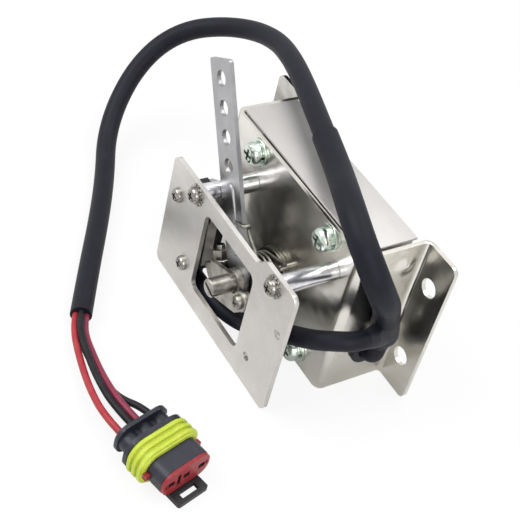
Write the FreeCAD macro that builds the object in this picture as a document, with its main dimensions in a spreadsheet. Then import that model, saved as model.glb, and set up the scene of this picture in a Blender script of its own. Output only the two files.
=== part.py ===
import math
import os
import re

import FreeCAD
import Part
import Sketcher

# Throttle potentiometer: a folded bracket carries a rotary potentiometer whose shaft turns with a drilled
# lever, and a front plate on standoffs carries the idle microswitch. Millimetres, +Z up, the front at -Y.
# The origin is the centre of the four flange bolt holes, on the flanges' back face.

Vector = FreeCAD.Vector

doc = FreeCAD.newDocument("throttle_potentiometer")
sizes = doc.addObject("Spreadsheet::Sheet", "sizes")

# Driving dimensions, in millimetres and degrees
SIZES = {
    # mounting bracket
    "bracket_width": 77.0,
    "bracket_depth": 27.5,
    "bracket_height": 60.0,
    "bracket_sheet": 1.5,
    "bracket_bend": 1.5,
    "flange_reach": 14.0,
    "flange_corner": 2.5,
    "bolt_spacing_across": 90.0,
    "bolt_spacing_up": 32.0,
    "bolt_hole_radius": 3.3,
    # lid
    "lid_sheet": 1.5,
    "lid_lift": 1.0,
    "lid_setback": 0.5,
    "lid_depth": 20.9,
    "lid_side_gap": 0.05,
    "lid_tab_width": 10.0,
    "lid_tab_drop": 12.0,
    "lid_bend": 1.0,
    "dimple_radius": 2.2,
    "dimple_rise": 0.7,
    "dimple_slope": 40.0,
    "dimple_back": 8.2,
    "dimple_up": 22.3,
    # front plate
    "plate_sheet": 1.6,
    "plate_left": 36.3,
    "plate_right": 39.7,
    "plate_top": 17.0,
    "ear_top": 21.4,
    "ear_start": 17.8,
    "ear_slope": 4.6,
    "plate_corner": 2.8,
    "window_left": 12.7,
    "window_right": 18.7,
    "window_bottom": 22.1,
    "window_top": 11.0,
    "window_corner": 3.0,
    "spare_hole_radius": 1.6,
    "spare_upper_across": 35.9,
    "spare_upper_up": 3.0,
    "spare_lower_across": 24.9,
    "spare_lower_down": 18.9,
    # standoffs and their screws
    "standoff_length": 20.4,
    "standoff_radius": 3.2,
    "standoff_bore": 1.5,
    "standoff_left_across": 19.5,
    "standoff_left_up": 13.15,
    "standoff_right_across": 28.7,
    "standoff_right_up": 17.0,
    "small_screw_head_radius": 2.8,
    "small_screw_head_height": 2.2,
    "small_screw_radius": 1.45,
    "small_screw_length": 8.0,
    "small_screw_hole": 1.65,
    "screw_dome_share": 0.7,
    "recess_reach_share": 0.55,
    "recess_arm_share": 0.13,
    "recess_depth_share": 0.6,
    "tooth_washer_radius": 3.9,
    "tooth_washer_ring": 2.9,
    "tooth_washer_sheet": 0.6,
    "tooth_width": 0.75,
    "tooth_root_lap": 0.5,
    "tooth_number": 12,
    # bracket screws
    "web_screw_upper_left": 21.2,
    "web_screw_upper_right": 23.0,
    "web_screw_upper_up": 26.8,
    "web_screw_lower_left": 21.5,
    "web_screw_lower_right": 25.5,
    "web_screw_lower_down": 22.7,
    "web_screw_head_radius": 3.9,
    "web_screw_head_height": 2.9,
    "web_screw_radius": 1.95,
    "web_screw_length": 11.0,
    "web_screw_hole": 2.15,
    "spring_washer_radius": 3.6,
    "spring_washer_sheet": 1.0,
    "spring_washer_slit": 0.8,
    "flat_washer_radius": 4.9,
    "flat_washer_sheet": 0.9,
    # shaft and its bearing
    "shaft_across": 2.9,
    "shaft_down": 7.3,
    "shaft_radius": 3.175,
    "shaft_proud": 4.2,
    "shaft_slot_width": 1.2,
    "shaft_slot_depth": 2.4,
    "shaft_slot_turn": 17.6,
    "shaft_chamfer": 0.3,
    "running_clearance": 0.05,
    "seat_clearance": 0.02,
    "bush_radius": 4.7,
    "bush_nose": 9.5,
    # spring spool and its washer
    "spool_washer_radius": 8.7,
    "spool_washer_sheet": 1.2,
    "spool_length": 11.8,
    "spool_rear_radius": 8.7,
    "spool_rear_rim": 1.2,
    "spool_front_radius": 8.4,
    "spool_front_rim": 0.8,
    "spool_core_radius": 5.6,
    "spool_shaft_gap": 0.4,
    "spring_coil_radius": 7.2,
    "spring_wire_radius": 0.6,
    "spring_end_gap": 0.3,
    "spring_hook_up": 20.0,
    "spring_hook_reach": 2.9,
    "spring_hook_bend": 1.2,
    "spring_hook_gap": 0.15,
    "spring_rear_leg": 6.5,
    "spring_turns": 5,
    "spring_rear_angle": 45.3,
    "anchor_radius": 1.1,
    "anchor_length": 4.6,
    "anchor_across": 9.1,
    "anchor_up": 0.6,
    # lever
    "lever_tilt": 29.5,
    "lever_gap": 0.4,
    "lever_sheet": 1.5,
    "lever_width": 12.0,
    "lever_length": 73.0,
    "lever_corner": 1.0,
    "lever_foot_radius": 4.6,
    "lever_foot_start": 4.5,
    "lever_neck_lap": 1.0,
    "lever_hole_radius": 2.6,
    "lever_hole_first": 38.6,
    "lever_hole_pitch": 9.4,
    "lever_hole_number": 4,
    "lever_rib_low": 8.6,
    "lever_rib_high": 33.0,
    "lever_rib_width": 4.5,
    "lever_rib_rise": 0.7,
    "lever_rib_crown_share": 0.9,
    # hub
    "hub_gap": 2.4,
    "hub_sheet": 1.5,
    "hub_left": 10.7,
    "hub_left_top": 5.5,
    "hub_right": 2.5,
    "hub_right_top": 3.8,
    "hub_notch_bottom": 3.2,
    "hub_bottom_right": 2.2,
    "hub_bottom": 9.8,
    "hub_bottom_left": 11.3,
    "hub_bottom_left_down": 7.6,
    "hub_ear_across": 6.6,
    "hub_ear_down": 4.8,
    "hub_ear_radius": 3.6,
    "hub_throat_across": 5.0,
    "hub_throat_down": 5.0,
    "hub_root_across": 7.7,
    "hub_root_up": 4.5,
    "collar_radius": 4.5,
    "clamp_screw_head_radius": 2.5,
    "clamp_screw_head_height": 2.0,
    "clamp_screw_radius": 1.4,
    "clamp_nut_flats": 5.0,
    "clamp_nut_height": 2.0,
    # idle bolt on the hub's folded tab
    "tab_across": 11.6,
    "tab_width": 6.0,
    "tab_top": 4.0,
    "tab_length": 8.6,
    "idle_bolt_back": 4.95,
    "idle_bolt_radius": 1.5,
    "idle_bolt_proud": 1.6,
    "idle_washer_radius": 3.4,
    "idle_washer_sheet": 0.7,
    "idle_nut_flats": 5.5,
    "idle_nut_height": 3.4,
    "idle_head_height": 2.0,
    # microswitch
    "switch_left": 32.6,
    "switch_width": 15.9,
    "switch_top": 7.2,
    "switch_height": 27.8,
    "switch_depth": 8.8,
    "switch_cover_sheet": 1.5,
    "switch_edge": 0.5,
    "switch_hole_inset": 2.8,
    "switch_screw_radius": 1.45,
    "switch_screw_head_radius": 2.6,
    "switch_screw_head_height": 2.0,
    "switch_screw_tail": 3.4,
    "switch_nut_flats": 5.5,
    "switch_nut_height": 2.4,
    "pivot_across": 2.1,
    "pivot_drop": 1.9,
    "pivot_radius": 0.7,
    "leaf_back": 4.1,
    "leaf_width": 3.6,
    "leaf_sheet": 0.5,
    "leaf_length": 21.2,
    "leaf_flare_start": 15.0,
    "leaf_flare_slope": 2.5,
    "leaf_flare_reach": 1.5,
    "leaf_lean": 3.0,
    "leaf_side_gap": 0.3,
    "pivot_bracket_sheet": 0.5,
    "pivot_bracket_drop": 3.9,
    "pivot_ear_radius": 1.4,
    "plunger_drop": 9.0,
    "plunger_radius": 1.1,
    "plunger_length": 4.2,
    "plunger_gap": 0.3,
    "plunger_travel_room": 1.2,
    "terminal_length": 5.4,
    "terminal_width": 4.75,
    "terminal_sheet": 0.5,
    "terminal_upper_down": 8.0,
    "terminal_lower_down": 17.0,
    "boot_width": 10.0,
    "boot_depth": 7.6,
    "boot_height": 9.2,
    "boot_edge": 1.6,
    "boot_entry_up": 4.3,
    "boot_from_left": 2.6,
    # potentiometer
    "housing_base": 3.0,
    "housing_left": 26.6,
    "housing_right": 30.6,
    "housing_top": 30.0,
    "housing_bottom": 27.4,
    "housing_corner": 5.0,
    "housing_gap": 0.05,
    "can_radius": 20.0,
    "can_depth": 15.0,
    "can_wall": 2.0,
    "can_floor": 2.0,
    "boss_radius": 4.0,
    "boss_depth": 8.0,
    "screw_relief_gap": 0.25,
    "cover_sheet": 2.0,
    "cover_spigot": 2.0,
    "track_sheet": 1.0,
    "track_bore_radius": 7.0,
    "track_raise": 0.2,
    "track_outer_mean": 14.5,
    "track_inner_mean": 10.5,
    "track_band": 2.2,
    "wiper_hub_radius": 5.5,
    "wiper_hub_length": 4.0,
    "wiper_arm_width": 4.0,
    "wiper_arm_sheet": 0.8,
    "wiper_gap": 0.3,
    "wiper_tip_radius": 1.2,
    # wall grommet and cable lead
    "lead_radius": 2.8,
    "lead_back": 12.5,
    "lead_down": 14.5,
    "lead_out": 5.4,
    "lead_bend": 4.2,
    "grommet_rim_radius": 5.6,
    "grommet_rim": 1.6,
    "grommet_neck_radius": 4.3,
    "junction_radius": 5.0,
    "junction_down": 1.5,
    "junction_arm": 9.6,
    "junction_sleeve_radius": 4.9,
    "junction_branch_radius": 3.7,
    "junction_lead_radius": 3.3,
    "junction_lead_arm": 6.0,
    "junction_branch_arm": 11.3,
    "junction_tail": 2.4,
    "junction_bend": 9.5,
    # cables
    "sheath_radius": 3.7,
    "sleeve_radius": 4.4,
    "branch_radius": 3.2,
    "wire_radius": 1.15,
    "wire_bundle_spacing": 1.7,
    "wire_first_run": 6.5,
    # sealed plug, its own axis running from the rear face to the front
    "plug_across": 35.5,
    "plug_forward": 92.5,
    "plug_floor_gap": 7.3,
    "plug_turn": 14.2,
    "plug_pitch": 6.0,
    "plug_rim_half_width": 9.9,
    "plug_rim_half_height": 5.6,
    "plug_rim_length": 1.4,
    "plug_rim_corner": 4.6,
    "plug_lobe_radius": 3.4,
    "plug_web_half_height": 2.4,
    "plug_collar_half_width": 11.2,
    "plug_collar_half_height": 6.4,
    "plug_collar_start": 5.6,
    "plug_collar_length": 1.6,
    "plug_collar_corner": 5.4,
    "plug_core_half_width": 9.3,
    "plug_core_half_height": 4.7,
    "plug_core_end": 20.6,
    "plug_core_corner": 3.8,
    "plug_front_wall": 1.3,
    "plug_front_recess": 6.6,
    "plug_bore_radius": 2.4,
    "plug_bore_length": 4.0,
    "wire_depth": 1.0,
    "wire_pair_offset": 1.2,
    "seal_length": 7.0,
    "seal_wall": 1.5,
    "seal_rib": 0.9,
    "seal_rib_width": 1.3,
    "seal_rib_pitch": 2.3,
    "seal_rib_edge": 0.4,
    "lock_clearance": 0.1,
    "lock_proud": 1.2,
    "lock_depth": 5.6,
    "lock_corner": 3.9,
    "lock_tab_start": 14.3,
    "lock_tab_length": 1.6,
    "lock_tab_reach": 11.0,
    "lock_tab_half_height": 1.0,
    "socket_width": 2.6,
    "socket_height": 2.2,
    "socket_depth": 5.0,
    "key_slot_width": 1.4,
    "key_slot_height": 4.8,
    "end_slot_across": 8.0,
    "end_slot_width": 0.7,
    "end_slot_height": 2.0,
    "end_slot_depth": 0.8,
    "latch_half_width": 5.9,
    "latch_sheet": 1.7,
    "latch_gap": 0.6,
    "latch_start": 15.0,
    "latch_root": 2.5,
    "latch_end": 26.4,
    "latch_corner": 0.8,
    "latch_slot_start": 22.8,
    "latch_slot_length": 2.2,
    "latch_slot_half_width": 3.3,
}

for row, (alias, number) in enumerate(SIZES.items(), start=1):
    sizes.set(f"A{row}", alias.replace("_", " "))
    sizes.set(f"B{row}", str(number))
    sizes.setAlias(f"B{row}", alias)
doc.recompute()

# Lengths worked out from the driving ones, as expressions on the sheet; Y runs back from the front
WEB_FRONT = "-bracket_depth"
WEB_BACK = "(-bracket_depth + bracket_sheet)"
HALF_WIDTH = "(bracket_width / 2)"
HALF_HEIGHT = "(bracket_height / 2)"
FLANGE_EDGE = "(bracket_width / 2 + flange_reach)"
FLOOR = "-bracket_height / 2"
LID_UNDER = "(bracket_height / 2 + lid_lift)"
LID_TOP = "(bracket_height / 2 + lid_lift + lid_sheet)"
LID_HALF = "(bracket_width / 2 - bracket_sheet - lid_side_gap)"
LID_FRONT = "(-bracket_depth + lid_setback)"
LID_BACK = "(-bracket_depth + lid_setback + lid_depth)"
PLATE_BACK = "(-bracket_depth - standoff_length)"
PLATE_FRONT = "(-bracket_depth - standoff_length - plate_sheet)"
SHAFT_X = "shaft_across"
SHAFT_Z = "(-shaft_down)"
SHAFT_FRONT = "(-bracket_depth - standoff_length - plate_sheet - shaft_proud)"
SPOOL_BACK = "(-bracket_depth - spool_washer_sheet)"
SPOOL_FRONT = "(-bracket_depth - spool_washer_sheet - spool_length)"
LEVER_BACK = "(-bracket_depth - spool_washer_sheet - spool_length - lever_gap)"
LEVER_FRONT = "(-bracket_depth - spool_washer_sheet - spool_length - lever_gap - lever_sheet)"
HUB_BACK = "(-bracket_depth - spool_washer_sheet - spool_length - lever_gap - lever_sheet - hub_gap)"
HUB_FRONT = "(-bracket_depth - spool_washer_sheet - spool_length - lever_gap - lever_sheet - hub_gap - hub_sheet)"
BUSH_FRONT = "(-bracket_depth - bush_nose)"
BASE_BACK = "(-bracket_depth + bracket_sheet + housing_base)"
CAN_BACK = "(-bracket_depth + bracket_sheet + housing_base + can_depth)"
CAN_FLOOR = "(-bracket_depth + bracket_sheet + housing_base + can_floor)"
COVER_BACK = "(-bracket_depth + bracket_sheet + housing_base + can_depth + cover_sheet)"
TRACK_BACK = "(-bracket_depth + bracket_sheet + housing_base + can_floor + track_sheet)"
TRACK_TOP = "(-bracket_depth + bracket_sheet + housing_base + can_floor + track_sheet + track_raise)"
SWITCH_RIGHT = "(-switch_left + switch_width)"
SWITCH_BOTTOM = "(switch_top - switch_height)"
SWITCH_CASE_BACK = "(-bracket_depth - standoff_length + switch_depth)"
SWITCH_BACK = "(-bracket_depth - standoff_length + switch_depth + switch_cover_sheet)"
PIVOT_X = "(-switch_left + switch_width + pivot_across)"
PIVOT_Z = "(switch_top - pivot_drop)"
LEAF_Y = "(-bracket_depth - standoff_length + leaf_back)"
TAB_BACK = "(-bracket_depth - spool_washer_sheet - spool_length - lever_gap - lever_sheet" \
           " - hub_gap - hub_sheet + tab_length)"
IDLE_Y = "(-bracket_depth - spool_washer_sheet - spool_length - lever_gap - lever_sheet" \
         " - hub_gap - hub_sheet + idle_bolt_back)"

PLUNGER_Z = "(switch_top - pivot_drop - plunger_drop)"
PLUNGER_TIP = "(-switch_left + switch_width + pivot_across - pivot_radius - running_clearance - leaf_sheet" \
              " + plunger_drop * tan(leaf_lean) - plunger_gap)"
WALL_OUT = "(bracket_width / 2)"
LEAD_X = "(bracket_width / 2 + lead_out)"

SCREW_PLACES = [
    ("-web_screw_upper_left", "web_screw_upper_up"),
    ("web_screw_upper_right", "web_screw_upper_up"),
    ("-web_screw_lower_left", "-web_screw_lower_down"),
    ("web_screw_lower_right", "-web_screw_lower_down"),
]
STANDOFF_PLACES = {
    "standoff_left": ("-standoff_left_across", "standoff_left_up"),
    "standoff_right": ("standoff_right_across", "standoff_right_up"),
}
SWITCH_SCREW_PLACES = [
    ("(-switch_left + switch_hole_inset)", "(switch_top - switch_hole_inset)"),
    ("(-switch_left + switch_width - switch_hole_inset)", "(switch_top - switch_height + switch_hole_inset)"),
]
SPARE_HOLES = [
    ("spare_upper_across", "spare_upper_up"),
    ("spare_lower_across", "-spare_lower_down"),
]

SUBPARTS = []
WORD = re.compile(r"\b[a-z_]+\b")


def bound(text):
    """The expression with each driving dimension's name pointed at the sheet."""
    return WORD.sub(lambda found: "sizes." + found.group() if found.group() in SIZES else found.group(), text)


def value(text):
    """The number that an expression gives now."""
    found = sizes.evalExpression(text)
    return float(getattr(found, "Value", found))


def keep(piece, name):
    """Names a finished sub-part and puts it on the list of pieces to write."""
    piece.Label = name
    SUBPARTS.append(piece)
    return piece


def new_body(name):
    body = doc.addObject("PartDesign::Body", name)
    return body


def own_plane(body, role):
    return [feature for feature in body.Origin.OriginFeatures if feature.Role == role][0]


def add_polygon(sketch, corners):
    """A closed outline through corners, each coordinate bound to its expression."""
    first = sketch.GeometryCount
    number = len(corners)
    points = [Vector(value(x), value(y), 0) for x, y in corners]
    for index in range(number):
        sketch.addGeometry(Part.LineSegment(points[index], points[(index + 1) % number]), False)
    for index in range(number):
        following = first + (index + 1) % number
        sketch.addConstraint(Sketcher.Constraint("Coincident", first + index, 2, following, 1))
    for index, (x, y) in enumerate(corners):
        for kind, text, number_now in (("DistanceX", x, points[index].x), ("DistanceY", y, points[index].y)):
            tie = sketch.addConstraint(Sketcher.Constraint(kind, -1, 1, first + index, 1, number_now))
            sketch.setExpression(f"Constraints[{tie}]", bound(text))


def add_circle(sketch, x, y, radius):
    """A circle whose centre and radius are bound to their expressions."""
    centre = Vector(value(x), value(y), 0)
    circle = sketch.addGeometry(Part.Circle(centre, Vector(0, 0, 1), value(radius)), False)
    ties = (("DistanceX", x, centre.x), ("DistanceY", y, centre.y))
    for kind, text, number_now in ties:
        tie = sketch.addConstraint(Sketcher.Constraint(kind, -1, 1, circle, 3, number_now))
        sketch.setExpression(f"Constraints[{tie}]", bound(text))
    tie = sketch.addConstraint(Sketcher.Constraint("Radius", circle, value(radius)))
    sketch.setExpression(f"Constraints[{tie}]", bound(radius))


def draw(body, name, role, outlines, level="0"):
    """A sketch on one of the body's own planes, moved to a level along that plane's axis."""
    sketch = body.newObject("Sketcher::SketchObject", name)
    sketch.AttachmentSupport = (own_plane(body, role), [""])
    sketch.MapMode = "FlatFace"
    facing = "-1 * " if role == "XZ_Plane" else "1 * "
    sketch.setExpression("AttachmentOffset.Base.z", bound(facing + "(" + level + ")"))
    for outline in outlines:
        if len(outline) == 3 and isinstance(outline[0], str):
            add_circle(sketch, *outline)
        else:
            add_polygon(sketch, outline)
    return sketch


def rectangle(left, right, low, high):
    return [(left, low), (right, low), (right, high), (left, high)]


def pad(body, name, sketch, length, reverse=False):
    """Raises a sketch along its plane's normal, which is -Y for the XZ plane, or the other way."""
    feature = body.newObject("PartDesign::Pad", name)
    feature.Profile = sketch
    feature.setExpression("Length", bound(length))
    feature.Reversed = reverse
    body.Tip = feature
    doc.recompute()
    return feature


def pocket(body, name, sketch, length, reverse=False):
    """Cuts a sketch against its plane's normal, or the other way, and makes sure that it cut something."""
    before = body.Shape.Volume
    feature = body.newObject("PartDesign::Pocket", name)
    feature.Profile = sketch
    feature.setExpression("Length", bound(length))
    feature.Reversed = reverse
    body.Tip = feature
    doc.recompute()
    if not feature.Shape.Volume < before:
        raise RuntimeError(f"{body.Name}: {name} cut nothing")
    return feature


def spin(body, name, sketch):
    """Turns a profile drawn on the XY plane once round the body's Y axis."""
    feature = body.newObject("PartDesign::Revolution", name)
    feature.Profile = sketch
    feature.ReferenceAxis = (sketch, ["V_Axis"])
    feature.Angle = 360
    body.Tip = feature
    doc.recompute()
    return feature


def round_edges(body, name, radius, wanted):
    """Rounds the edges of the body's last feature that a test picks."""
    doc.recompute()
    base = body.Tip
    edges = [f"Edge{index}" for index, edge in enumerate(base.Shape.Edges, start=1) if wanted(edge)]
    if not edges:
        raise RuntimeError(f"{body.Name}: {name} found no edge")
    feature = body.newObject("PartDesign::Fillet", name)
    feature.Base = (base, edges)
    feature.setExpression("Radius", bound(radius))
    body.Tip = feature
    doc.recompute()
    return feature


def along(axis, places):
    """A test for straight edges along an axis that pass through given places across it."""
    others = [index for index in range(3) if index != "XYZ".index(axis)]
    spots = [tuple(value(text) for text in place) for place in places]

    def wanted(edge):
        if edge.Curve.TypeId != "Part::GeomLine" or len(edge.Vertexes) != 2:
            return False
        start, end = (vertex.Point for vertex in edge.Vertexes)
        middle = (start + end) / 2
        if abs(abs((end - start).normalize()["XYZ".index(axis)]) - 1) > 1e-6:
            return False
        return any(all(abs(middle[other] - spot[slot]) < 1e-3 for slot, other in enumerate(others))
                   for spot in spots)
    return wanted


def rims(radius, levels):
    """A test for round edges of one radius whose centres lie at given levels along Y."""
    now = value(radius)
    heights = [value(level) for level in levels]

    def wanted(edge):
        if edge.Curve.TypeId != "Part::GeomCircle" or abs(edge.Curve.Radius - now) > 1e-3:
            return False
        return any(abs(edge.Curve.Center.y - height) < 1e-3 for height in heights)
    return wanted


def set_place(piece, x, y, z, turn="0"):
    """Puts a piece at a point, turned about the Y axis by an angle in degrees."""
    text = f"create(<<placement>>; create(<<vector>>; {x}; {y}; {z});" \
           f" create(<<rotation>>; create(<<vector>>; 0; 1; 0); {turn}))"
    piece.setExpression("Placement", bound(text))


def at_shaft(piece):
    """Puts a piece that turns with the lever on the shaft's axis, at the lever's rest angle."""
    set_place(piece, SHAFT_X, "0", SHAFT_Z, "-lever_tilt")


def turned(name, profile, x="0", z="0"):
    """A piece turned about an axis along Y: profile gives radius and level pairs."""
    body = new_body(name)
    sketch = draw(body, name + "_profile", "XY_Plane", [profile])
    spin(body, name + "_turned", sketch)
    set_place(body, x, "0", z)
    return body


def tube_profile(inner, outer, front, back):
    return [(inner, front), (outer, front), (outer, back), (inner, back)]


def copies(name, form, places):
    """One node of several like pieces: a form set at each place (x, y, z)."""
    links = []
    for number, (x, y, z) in enumerate(places, start=1):
        link = doc.addObject("App::Link", f"{name}_{number}")
        link.LinkedObject = form
        for letter, text in zip("xyz", (x, y, z)):
            link.setExpression(f"Placement.Base.{letter}", bound(text))
        links.append(link)
    group = doc.addObject("Part::Compound", name)
    group.Links = links
    doc.recompute()
    return keep(group, name)


def pan_screw(name, head_radius, head_height, shank_radius, length):
    """A pan-head cross-recess screw along +Y with its bearing face at Y 0."""
    body = turned(name, [("0", f"-{head_height}"), (head_radius, f"-{head_height}"), (head_radius, "0"),
                         (shank_radius, "0"), (shank_radius, length), ("0", length)])
    round_edges(body, name + "_dome", f"{head_height} * screw_dome_share", rims(head_radius, [f"-{head_height}"]))
    reach = f"({head_radius} * recess_reach_share)"
    half = f"({head_radius} * recess_arm_share)"
    cross = [(half, half), (reach, half), (reach, f"-{half}"), (half, f"-{half}"),
             (half, f"-{reach}"), (f"-{half}", f"-{reach}"), (f"-{half}", f"-{half}"), (f"-{reach}", f"-{half}"),
             (f"-{reach}", half), (f"-{half}", half), (f"-{half}", reach), (half, reach)]
    sketch = draw(body, name + "_recess", "XZ_Plane", [cross], f"-{head_height}")
    pocket(body, name + "_recess_cut", sketch, f"{head_height} * recess_depth_share")
    return body


def hexagon(flats, x="0", y="0"):
    """The corners of a hexagon with two of its flats facing along the first axis."""
    corners = []
    for step in range(6):
        angle = 30 + 60 * step
        corners.append((f"{x} + {flats} / 2 / cos(30) * cos({angle})", f"{y} + {flats} / 2 / cos(30) * sin({angle})"))
    return corners


def mounting_bracket():
    """One folded hat section: the web in front, two side walls and two drilled flanges."""
    body = new_body("mounting_bracket")
    wall_in = "(bracket_width / 2 - bracket_sheet)"
    hat = [(f"-{FLANGE_EDGE}", "0"), (f"-{FLANGE_EDGE}", "-bracket_sheet"), (f"-{HALF_WIDTH}", "-bracket_sheet"),
           (f"-{HALF_WIDTH}", WEB_FRONT), (HALF_WIDTH, WEB_FRONT), (HALF_WIDTH, "-bracket_sheet"),
           (FLANGE_EDGE, "-bracket_sheet"), (FLANGE_EDGE, "0"), (wall_in, "0"), (wall_in, WEB_BACK),
           (f"-{wall_in}", WEB_BACK), (f"-{wall_in}", "0")]
    sketch = draw(body, "hat_section", "XY_Plane", [hat], FLOOR)
    pad(body, "hat_length", sketch, "bracket_height")
    outside = [(HALF_WIDTH, WEB_FRONT), (f"-{HALF_WIDTH}", WEB_FRONT), (wall_in, "0"), (f"-{wall_in}", "0")]
    inside = [(wall_in, WEB_BACK), (f"-{wall_in}", WEB_BACK), (HALF_WIDTH, "-bracket_sheet"),
              (f"-{HALF_WIDTH}", "-bracket_sheet")]
    round_edges(body, "bend_outsides", "bracket_bend + bracket_sheet", along("Z", outside))
    round_edges(body, "bend_insides", "bracket_bend", along("Z", inside))
    corners = [(side + FLANGE_EDGE, end + HALF_HEIGHT) for side in ("", "-") for end in ("", "-")]
    round_edges(body, "flange_corners", "flange_corner", along("Y", corners))
    bolts = [(f"{side} bolt_spacing_across / 2", f"{end} bolt_spacing_up / 2", "bolt_hole_radius")
             for side in ("1 *", "-1 *") for end in ("1 *", "-1 *")]
    sketch = draw(body, "flange_holes", "XZ_Plane", bolts, "-2 * bracket_sheet")
    pocket(body, "flange_holes_cut", sketch, "3 * bracket_sheet")
    through = [(x, z, "web_screw_hole") for x, z in SCREW_PLACES]
    through += [(x, z, "small_screw_hole") for x, z in STANDOFF_PLACES.values()]
    through.append((SHAFT_X, SHAFT_Z, "bush_radius + seat_clearance"))
    through.append(("anchor_across", "anchor_up", "anchor_radius"))
    sketch = draw(body, "web_holes", "XZ_Plane", through, "-bracket_depth - bracket_sheet")
    pocket(body, "web_holes_cut", sketch, "3 * bracket_sheet")
    sketch = draw(body, "lead_hole", "YZ_Plane", [("-lead_back", "-lead_down", "grommet_neck_radius")],
                  "bracket_width / 2 - 2 * bracket_sheet")
    pocket(body, "lead_hole_cut", sketch, "3 * bracket_sheet", reverse=True)
    for side, sign in (("right", ""), ("left", "-")):
        sketch = draw(body, f"dimple_{side}", "YZ_Plane", [("-dimple_back", "dimple_up", "dimple_radius")],
                      f"{sign}{HALF_WIDTH}")
        bump = pad(body, f"dimple_{side}_rise", sketch, "dimple_rise", reverse=(side == "left"))
        bump.setExpression("TaperAngle", bound("-dimple_slope"))
        doc.recompute()
    keep(body, "mounting_bracket")


def box_lid():
    """The folded lid: a flat top with a tab at each end against the side walls' inner faces."""
    body = new_body("box_lid")
    tab_low = "(bracket_height / 2 + lid_lift - lid_tab_drop)"
    inner = "(bracket_width / 2 - bracket_sheet - lid_side_gap - lid_sheet)"
    tab_back = "(-dimple_back + lid_tab_width / 2)"
    channel = [(f"-{LID_HALF}", tab_low), (f"-{inner}", tab_low), (f"-{inner}", LID_UNDER), (inner, LID_UNDER),
               (inner, tab_low), (LID_HALF, tab_low), (LID_HALF, LID_TOP), (f"-{LID_HALF}", LID_TOP)]
    sketch = draw(body, "tab_section", "XZ_Plane", [channel], tab_back)
    pad(body, "tab_length", sketch, "lid_tab_width")
    round_edges(body, "lid_bend_outsides", "lid_bend + lid_sheet",
                along("Y", [(LID_HALF, LID_TOP), (f"-{LID_HALF}", LID_TOP)]))
    round_edges(body, "lid_bend_insides", "lid_bend", along("Y", [(inner, LID_UNDER), (f"-{inner}", LID_UNDER)]))
    sketch = draw(body, "top_outline", "XY_Plane", [rectangle(f"-{inner}", inner, LID_FRONT, LID_BACK)], LID_UNDER)
    pad(body, "top_sheet", sketch, "lid_sheet")
    keep(body, "box_lid")


def front_plate():
    """The flat plate that carries the microswitch, with its window and one raised ear."""
    body = new_body("front_plate")
    slope_end = "(ear_start + ear_slope)"
    outline = [("-plate_left", FLOOR), ("plate_right", FLOOR), ("plate_right", "ear_top"), (slope_end, "ear_top"),
               ("ear_start", "plate_top"), ("-plate_left", "plate_top")]
    sketch = draw(body, "plate_outline", "XZ_Plane", [outline], PLATE_BACK)
    pad(body, "plate_sheet_pad", sketch, "plate_sheet")
    corners = [("-plate_left", FLOOR), ("plate_right", FLOOR), ("plate_right", "ear_top"),
               ("-plate_left", "plate_top")]
    round_edges(body, "plate_corners", "plate_corner", along("Y", corners))
    round_edges(body, "ear_corners", "plate_corner / 2", along("Y", [(slope_end, "ear_top"),
                                                                    ("ear_start", "plate_top")]))
    window = rectangle("-window_left", "window_right", "-window_bottom", "window_top")
    sketch = draw(body, "window_outline", "XZ_Plane", [window], PLATE_FRONT)
    pocket(body, "window_cut", sketch, "2 * plate_sheet")
    round_edges(body, "window_corners", "window_corner", along("Y", window))
    holes = [(x, z, "small_screw_hole") for x, z in STANDOFF_PLACES.values()]
    holes += [(x, z, "switch_screw_radius + running_clearance") for x, z in SWITCH_SCREW_PLACES]
    holes += [(x, z, "spare_hole_radius") for x, z in SPARE_HOLES]
    sketch = draw(body, "plate_holes", "XZ_Plane", holes, PLATE_FRONT)
    pocket(body, "plate_holes_cut", sketch, "2 * plate_sheet")
    keep(body, "front_plate")


def standoffs():
    """Two round tapped spacers between the bracket's web and the front plate, each with its screws."""
    for name, (x, z) in STANDOFF_PLACES.items():
        body = turned(name, tube_profile("standoff_bore", "standoff_radius", PLATE_BACK, WEB_FRONT), x, z)
        round_edges(body, name + "_edges", "standoff_bore / 6", rims("standoff_radius", [PLATE_BACK, WEB_FRONT]))
        keep(body, name)
    form = pan_screw("standoff_screw_form", "small_screw_head_radius", "small_screw_head_height",
                     "small_screw_radius", "small_screw_length")
    front = f"{PLATE_FRONT} - tooth_washer_sheet"
    copies("plate_screws", form, [(x, front, z) for x, z in STANDOFF_PLACES.values()])
    rear = turned("rear_screw_form", [("0", "-small_screw_length"), ("small_screw_radius", "-small_screw_length"),
                                      ("small_screw_radius", "0"), ("small_screw_head_radius", "0"),
                                      ("small_screw_head_radius", "small_screw_head_height"),
                                      ("0", "small_screw_head_height")])
    copies("standoff_rear_screws", rear, [(x, WEB_BACK, z) for x, z in STANDOFF_PLACES.values()])
    washer = new_body("tooth_washer_form")
    sketch = draw(washer, "tooth_ring", "XZ_Plane", [("0", "0", "tooth_washer_ring"),
                                                     ("0", "0", "small_screw_hole")])
    pad(washer, "tooth_ring_pad", sketch, "tooth_washer_sheet")
    tooth = rectangle("tooth_washer_ring - tooth_root_lap", "tooth_washer_radius", "-tooth_width / 2", "tooth_width / 2")
    sketch = draw(washer, "tooth_outline", "XZ_Plane", [tooth])
    first = pad(washer, "tooth_pad", sketch, "tooth_washer_sheet")
    ring = washer.newObject("PartDesign::PolarPattern", "tooth_pattern")
    ring.Originals = [first]
    ring.Axis = (sketch, ["N_Axis"])
    ring.Angle = 360
    ring.setExpression("Occurrences", bound("tooth_number"))
    washer.Tip = ring
    copies("tooth_washers", washer, [(x, PLATE_FRONT, z) for x, z in STANDOFF_PLACES.values()])


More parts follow.
